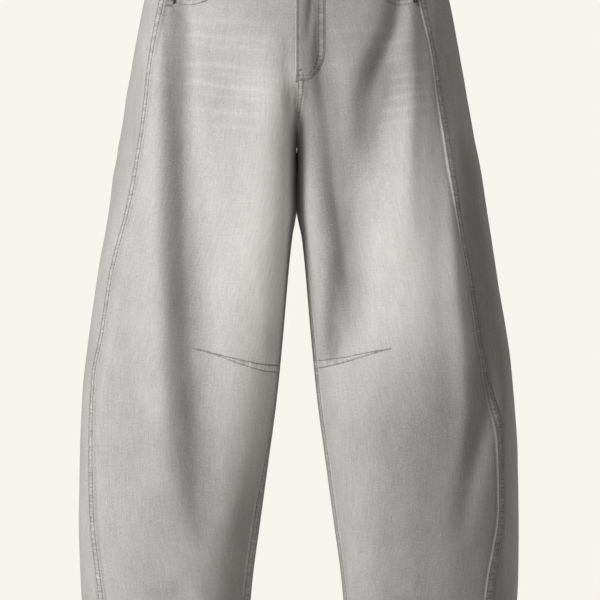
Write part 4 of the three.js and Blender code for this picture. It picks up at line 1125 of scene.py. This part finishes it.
def resample(p, n, pitch):
    run = np.append(0, np.cumsum(np.linalg.norm(np.diff(p, axis=0), axis=1)))
    count = max(2, int(run[-1] / pitch))
    at = (np.arange(count) + 0.5) * run[-1] / count
    pick = lambda values: np.stack([np.interp(at, run, values[:, i]) for i in range(3)], -1)
    ahead = np.stack([np.interp(at + 0.3, run, p[:, i]) - np.interp(at - 0.3, run, p[:, i]) for i in range(3)], -1)
    return pick(p), pick(n), ahead / np.maximum(np.linalg.norm(ahead, axis=1, keepdims=True), 1e-9)


STITCH_SIDES = 5
STITCH_RINGS = ((-1.0, -0.2, 0.55), (-0.5, 0.34, 1.0), (0.5, 0.34, 1.0), (1.0, -0.2, 0.55))


def stitching(name, lines, pitch=3.1, length=2.5, radius=0.36):
    """Thread in short raised stitches along lines of points and outward directions."""
    vertices, faces = [], []
    turn = np.linspace(0, 2 * math.pi, STITCH_SIDES, endpoint=False)
    for p, n in lines:
        centre, normal, ahead = resample(p, n, pitch)
        beside = np.cross(normal, ahead)
        beside /= np.maximum(np.linalg.norm(beside, axis=1, keepdims=True), 1e-9)
        rings = []
        for along, lift, size in STITCH_RINGS:
            middle = centre + ahead * along * length / 2 + normal * lift * radius / 0.34
            around = np.cos(turn)[:, None] * normal[:, None] + np.sin(turn)[:, None] * beside[:, None]
            rings.append(middle[:, None] + radius * size * around)
        block = np.stack(rings, 1)
        start = sum(len(v) for v in vertices)
        vertices.append(block.reshape(-1, 3))
        ids = start + np.arange(block.shape[0] * block.shape[1] * STITCH_SIDES).reshape(block.shape[:3])
        after = np.roll(ids, -1, axis=2)
        for k in range(len(STITCH_RINGS) - 1):
            faces += np.stack([ids[:, k], after[:, k], after[:, k + 1], ids[:, k + 1]], -1).reshape(-1, 4).tolist()
        faces += ids[:, 0, ::-1].tolist()
        faces += ids[:, -1].tolist()
    declare(mesh_object(name, np.concatenate(vertices), faces, [THREAD]))


def leg_lines(leg):
    lines = []
    seam_top = float(scoop_top(np.array([150.0]))[0])
    z = np.arange(seam_top + 2, HEM_Z + 1, -1.5)
    for s in (-LINE, LINE):
        lines.append(surface_line(leg, s, z, LAP + hem_lift(z, z * 0 + s) + 0.12))
    z = np.arange(BAND_Z - 2, seam_top, -1.5)
    for s in (4.5, 10.5):
        lines.append(surface_line(leg, s, z, 0.12))
    z = np.arange(-318, HEM_Z + 1, -1.5)
    front = spans(leg, z)[0]
    for off in (-2.6, 8.2):
        lines.append(surface_line(leg, off - front, z, 1.0 + hem_lift(z, z * 0) + 0.12))
    z = np.arange(BAND_Z - 80, -290, -1.5)
    if leg == "L":
        back = spans(leg, z)[1]
        for off in (1.8, 8.2):
            lines.append(surface_line(leg, back - off, z, LAP + 0.12))
        z = np.arange(-196, -290, -1.5)
        front = spans(leg, z)[0]
        for off in (1.5, 7.6):
            lines.append(surface_line(leg, off - front, z, 1.12))
    share = np.linspace(0.02, 0.99, 160)
    for above in (1.0, 7.4):
        z = yoke_seam(share) - 4 + above
        lines.append(surface_line(leg, share * spans(leg, z)[1], z, LAP + 0.15))
    return lines


def dart_stitches(leg):
    upper, lower, tip = dart_lines(leg)
    start = 24.0 if leg == "R" else 20.0
    x = np.linspace(tip, start, 90)
    lines = []
    for line in (upper, lower):
        s = arc_at_x(leg, "front", x, line(x))
        lines.append(surface_line(leg, s, line(x), 0.22))
    return lines


def scoop_stitches(leg):
    x = np.linspace(93, SEAM[leg](-100.0) - 5, 120)
    z = scoop_top(x)
    slope = np.gradient(z, x)
    size = np.hypot(1, slope)
    lines = []
    for off in (2.0, 8.0):
        px, pz = x + slope / size * off, z - off / size
        keep = pz < BAND_Z - 2
        s = arc_at_x(leg, "front", px[keep], pz[keep])
        lines.append(surface_line(leg, s, pz[keep], 0.62))
    return lines


def front_line(x, z, lift):
    x, z = np.asarray(x, float), np.asarray(z, float)
    right, left = front_spot(x, z)
    a, b = surface_line("R", right, z, lift), surface_line("L", left, z, lift)
    pick = (x < 0)[:, None]
    return np.where(pick, a[0], b[0]), np.where(pick, a[1], b[1])


def fly_stitches():
    lines = []
    for rows in (((33.0, -42), (33.0, -167.5), (31.2, -180.6), (24.4, -192), (7.5, -204.5), (1.5, -206)),
                 ((27.3, -42), (26.3, -167.5), (22.5, -181), (16.0, -190), (7.5, -198.5), (2.0, -200))):
        rows = np.array(rows, float)
        run = np.append(0, np.cumsum(np.hypot(*np.diff(rows, axis=0).T)))
        t = np.linspace(0, run[-1], 220)
        x, z = curve(run, rows[:, 0])(t), curve(run, rows[:, 1])(t)
        lines.append(front_line(x, z, 0.75))
    z = np.linspace(-42, -203, 120)
    lines.append(front_line(np.full(z.shape, 2.2), z, 1.15))
    return lines


def bar_tack(line_points, width=1.7, pitch=0.55):
    """Close stitches that cross a short line, as short lines of their own."""
    p, n = line_points
    centre, normal, ahead = resample(p, n, pitch)
    beside = np.cross(normal, ahead)
    return [(np.stack([c - b * width / 2, c + b * width / 2]), np.stack([m, m]))
            for c, m, b in zip(centre, normal, beside)]


def pocket_lines(leg):
    lines = []
    t = np.linspace(0, 1, 60)
    for off in (2.0, 8.0):
        du = off / PATCH_WIDTH
        dv = off / (PATCH_HEIGHT + PATCH_POINT)
        down = 0.01 + t * (0.985 - dv)
        for u, v in ((du + 0 * t, down), (du + t * (1 - 2 * du), 0 * t + 1 - dv), (1 - du + 0 * t, down)):
            s, z = patch_spot(leg, u, v)
            lines.append(surface_line(leg, s, z, 1.85))
    for v in (0.022, 0.15):
        s, z = patch_spot(leg, 0.015 + 0.97 * t, v + 0 * t)
        lines.append(surface_line(leg, s, z, 1.95))
    return lines


def band_lines():
    lines = []
    for z in (-3.4, BAND_Z + 1.8):
        for leg in "RL":
            front, back = (float(v[0]) for v in spans(leg, np.array([z])))
            s = np.linspace(-front + (26 if leg == "R" else 1), back - 0.5, 260)
            lines.append(surface_line(leg, s, z, 1.85))
    return lines


for leg in "RL":
    stitching(f"stitching_seams_{NAMES[leg]}", leg_lines(leg))
    stitching(f"stitching_dart_{NAMES[leg]}", dart_stitches(leg), 2.6, 2.1, 0.3)
    stitching(f"stitching_scoop_{NAMES[leg]}", scoop_stitches(leg))
    stitching(f"stitching_back_pocket_{NAMES[leg]}", pocket_lines(leg))
stitching("stitching_fly", fly_stitches())
stitching("stitching_waistband", band_lines())


def hem_stitches(leg):
    z = np.array([HEM_FOLD_Z - 2.0])
    front, back = (float(v[0]) for v in spans(leg, z))
    s = np.linspace(-front, back, 500)
    return [surface_line(leg, s, z[0], hem_lift(np.full(500, z[0]), s) + 0.25)]


def tacks():
    found = []
    x = np.linspace(0.3, 6.9, 12)
    found += bar_tack(front_line(x, np.full(12, -193.0), 1.5))
    for leg in "RL":
        for u in (0.03, 0.97):
            v = np.linspace(0.0, 0.075, 12)
            s, zz = patch_spot(leg, u + 0 * v, v)
            found += bar_tack(surface_line(leg, s, zz, 2.0))
        x, zz = np.linspace(SEAM[leg](-112.0) - 10, SEAM[leg](-112.0) - 4, 8), np.full(8, -112.0)
        found += bar_tack(surface_line(leg, arc_at_x(leg, "front", x, zz), zz, 0.3))
    for _, leg, face, x_mid in LOOPS:
        for z_at, lift in ((-3.2, 2.9), (-52.0, 2.3)):
            across = np.linspace(-4.6, 4.6, 14)
            z = np.full(14, z_at)
            for owner, (s, mine) in loop_spots(leg, face, x_mid, z, across).items():
                found += bar_tack(surface_line(owner, s[mine], z[mine], lift))
    return found


for leg in "RL":
    stitching(f"stitching_hem_{NAMES[leg]}", hem_stitches(leg))
stitching("bar_tacks", tacks(), 1.7, 1.9, 0.26)


# Zip, rivets and button
def zip_tape():
    z = np.linspace(-40.6, -186, 60)[:, None] * np.ones(15)
    x = np.linspace(-14, 14, 15) * np.ones(z.shape)
    outer, uv = front_skin(x, z, -1.6)
    cloth_piece("zip_tape", outer, 0.8, uv, {}, False, [TAPE])


BOX_FACES = ((0, 1, 3, 2), (4, 6, 7, 5), (0, 4, 5, 1), (2, 3, 7, 6), (0, 2, 6, 4), (1, 5, 7, 3))


def zip_teeth():
    vertices, faces = [], []
    for i, z in enumerate(np.arange(-68, -184, -1.7)):
        x = np.array([-1.1 if i % 2 else 1.1])
        p, n = front_line(x, np.array([z]), -2.5)
        p, n = p[0], n[0]
        start = len(vertices)
        for dx in (-1.5, 1.5):
            for dy in (0, -1.2):
                for dz in (-0.6, 0.6):
                    vertices.append(p + n * dy + np.array([dx, 0, dz]))
        faces += [tuple(start + k for k in face) for face in BOX_FACES]
    declare(mesh_object("zip_teeth", vertices, faces, [DARK_METAL], False))


def lathe(name, profile, segments, seat, direction, node):
    """A round metal part turned from rows of radius and height."""
    direction = direction / np.linalg.norm(direction)
    a = np.cross(direction, [0, 0, 1.0])
    a /= np.linalg.norm(a)
    b = np.cross(direction, a)
    turn = np.linspace(0, 2 * math.pi, segments, endpoint=False)
    vertices = [seat + direction * profile[0][1]]
    for radius, height in profile[1:-1]:
        vertices += list(seat + direction * height + radius * (np.cos(turn)[:, None] * a + np.sin(turn)[:, None] * b))
    vertices.append(seat + direction * profile[-1][1])
    faces = []
    for k in range(segments):
        after = (k + 1) % segments
        faces.append((0, 1 + k, 1 + after))
        for r in range(len(profile) - 3):
            low = 1 + r * segments
            faces.append((low + k, low + segments + k, low + segments + after, low + after))
        last = 1 + (len(profile) - 3) * segments
        faces.append((last + k, len(vertices) - 1, last + after))
    declare(mesh_object(name, vertices, faces, [DARK_METAL]), node)


RIVET_PROFILE = ((0, 0), (3.9, 0), (4.0, 0.3), (3.85, 0.6), (3.4, 0.85), (2.7, 0.95), (2.3, 1.05), (2.1, 1.4),
    (1.6, 1.75), (0.9, 1.85), (0, 1.8))
BUTTON_PROFILE = ((0, 0), (7.9, 0), (8.4, 0.5), (8.5, 1.2), (8.3, 2.2), (7.8, 2.9), (7.2, 3.2), (6.6, 3.15),
    (6.1, 2.8), (5.7, 2.55), (3.5, 2.5), (2.9, 2.7), (2.4, 3.0), (1.4, 3.1), (0, 3.1))
zip_tape()
zip_teeth()
for slot in bpy.data.objects["zip_slider"].material_slots:
    slot.material = DARK_METAL
RIVET_Z, RIVET_INSET = -106.5, 10
BUTTON_X, BUTTON_Z, HOLE_HALF_LENGTH, HOLE_HALF_WIDTH = 13.0, -20.0, 11, 2.2
for leg in "RL":
    rivet_x, rivet_z = np.array([float(SEAM[leg](RIVET_Z)) - RIVET_INSET]), np.array([RIVET_Z])
    p, n = surface_line(leg, arc_at_x(leg, "front", rivet_x, rivet_z), rivet_z, 0.5)
    lathe(f"pocket_rivet_{NAMES[leg]}", RIVET_PROFILE, 36, p[0], n[0], f"rivet_{NAMES[leg]}")
p, n = front_line(np.array([BUTTON_X]), np.array([BUTTON_Z]), 1.8)
lathe("shank_button", BUTTON_PROFILE, 48, p[0], n[0], "waist_button")
around = np.linspace(0, 2 * math.pi, 60)
hole = front_line(BUTTON_X + HOLE_HALF_LENGTH * np.cos(around), BUTTON_Z + HOLE_HALF_WIDTH * np.sin(around), 1.85)
stitching("buttonhole", bar_tack(hole, 2.2, 0.6), 2.2, 2.3, 0.26)


# Stage, light and camera
FLOOR_Z, FLOOR_END_Y = -1000.0, 1600.0
# The key light in metres and watts, and the colour and strength of the light all round and of the backdrop
KEY_PLACE, KEY_TARGET, KEY_SIZE, KEY_POWER = (-2.1, -1.9, 0.25), (0, 0, -0.5), (1.2, 1.8), 84
SOFT_LIGHT = (1.0, 0.985, 0.95, 1), 0.30
BACKDROP = (0.930, 0.905, 0.847, 1), 1.0


def stage():
    paint = Graph("floor_paint").surface((0.86, 0.835, 0.785, 1.0), 0.9)
    corners = [(x, y, FLOOR_Z) for x, y in ((-4000, -4000), (4000, -4000), (4000, FLOOR_END_Y), (-4000, FLOOR_END_Y))]
    mesh_object("floor", corners, [(0, 1, 2, 3)], [paint], False)


def lights():
    data = bpy.data.lights.new("key", "AREA")
    data.shape = "RECTANGLE"
    data.size, data.size_y = KEY_SIZE
    data.energy = KEY_POWER
    light = bpy.data.objects.new("key", data)
    light.location = KEY_PLACE
    light.rotation_euler = (Vector(KEY_TARGET) - Vector(KEY_PLACE)).to_track_quat("-Z", "Y").to_euler()
    bpy.context.scene.collection.objects.link(light)
    world = bpy.data.worlds.new("studio")
    bpy.context.scene.world = world
    world.use_nodes = True
    tree = world.node_tree
    tree.nodes.clear()
    out = tree.nodes.new("ShaderNodeOutputWorld")
    mix = tree.nodes.new("ShaderNodeMixShader")
    path = tree.nodes.new("ShaderNodeLightPath")
    tree.links.new(path.outputs["Is Camera Ray"], mix.inputs[0])
    for i, (color, strength) in enumerate((SOFT_LIGHT, BACKDROP), 1):
        node = tree.nodes.new("ShaderNodeBackground")
        sockets(node, {"Color": color, "Strength": strength})
        tree.links.new(node.outputs[0], mix.inputs[i])
    tree.links.new(mix.outputs[0], out.inputs[0])


def camera():
    data = bpy.data.cameras.new("camera")
    data.sensor_width = SENSOR
    data.lens = SENSOR * VIEW_DISTANCE / VIEW_WIDTH
    data.clip_end = 100
    view = bpy.data.objects.new("camera", data)
    view.location = (VIEW_X * MM, -VIEW_DISTANCE * MM, VIEW_Z * MM)
    view.rotation_euler = (math.pi / 2, 0, 0)
    bpy.context.scene.collection.objects.link(view)
    bpy.context.scene.camera = view


stage()
lights()
camera()
bpy.context.scene.view_settings.view_transform = "Standard"
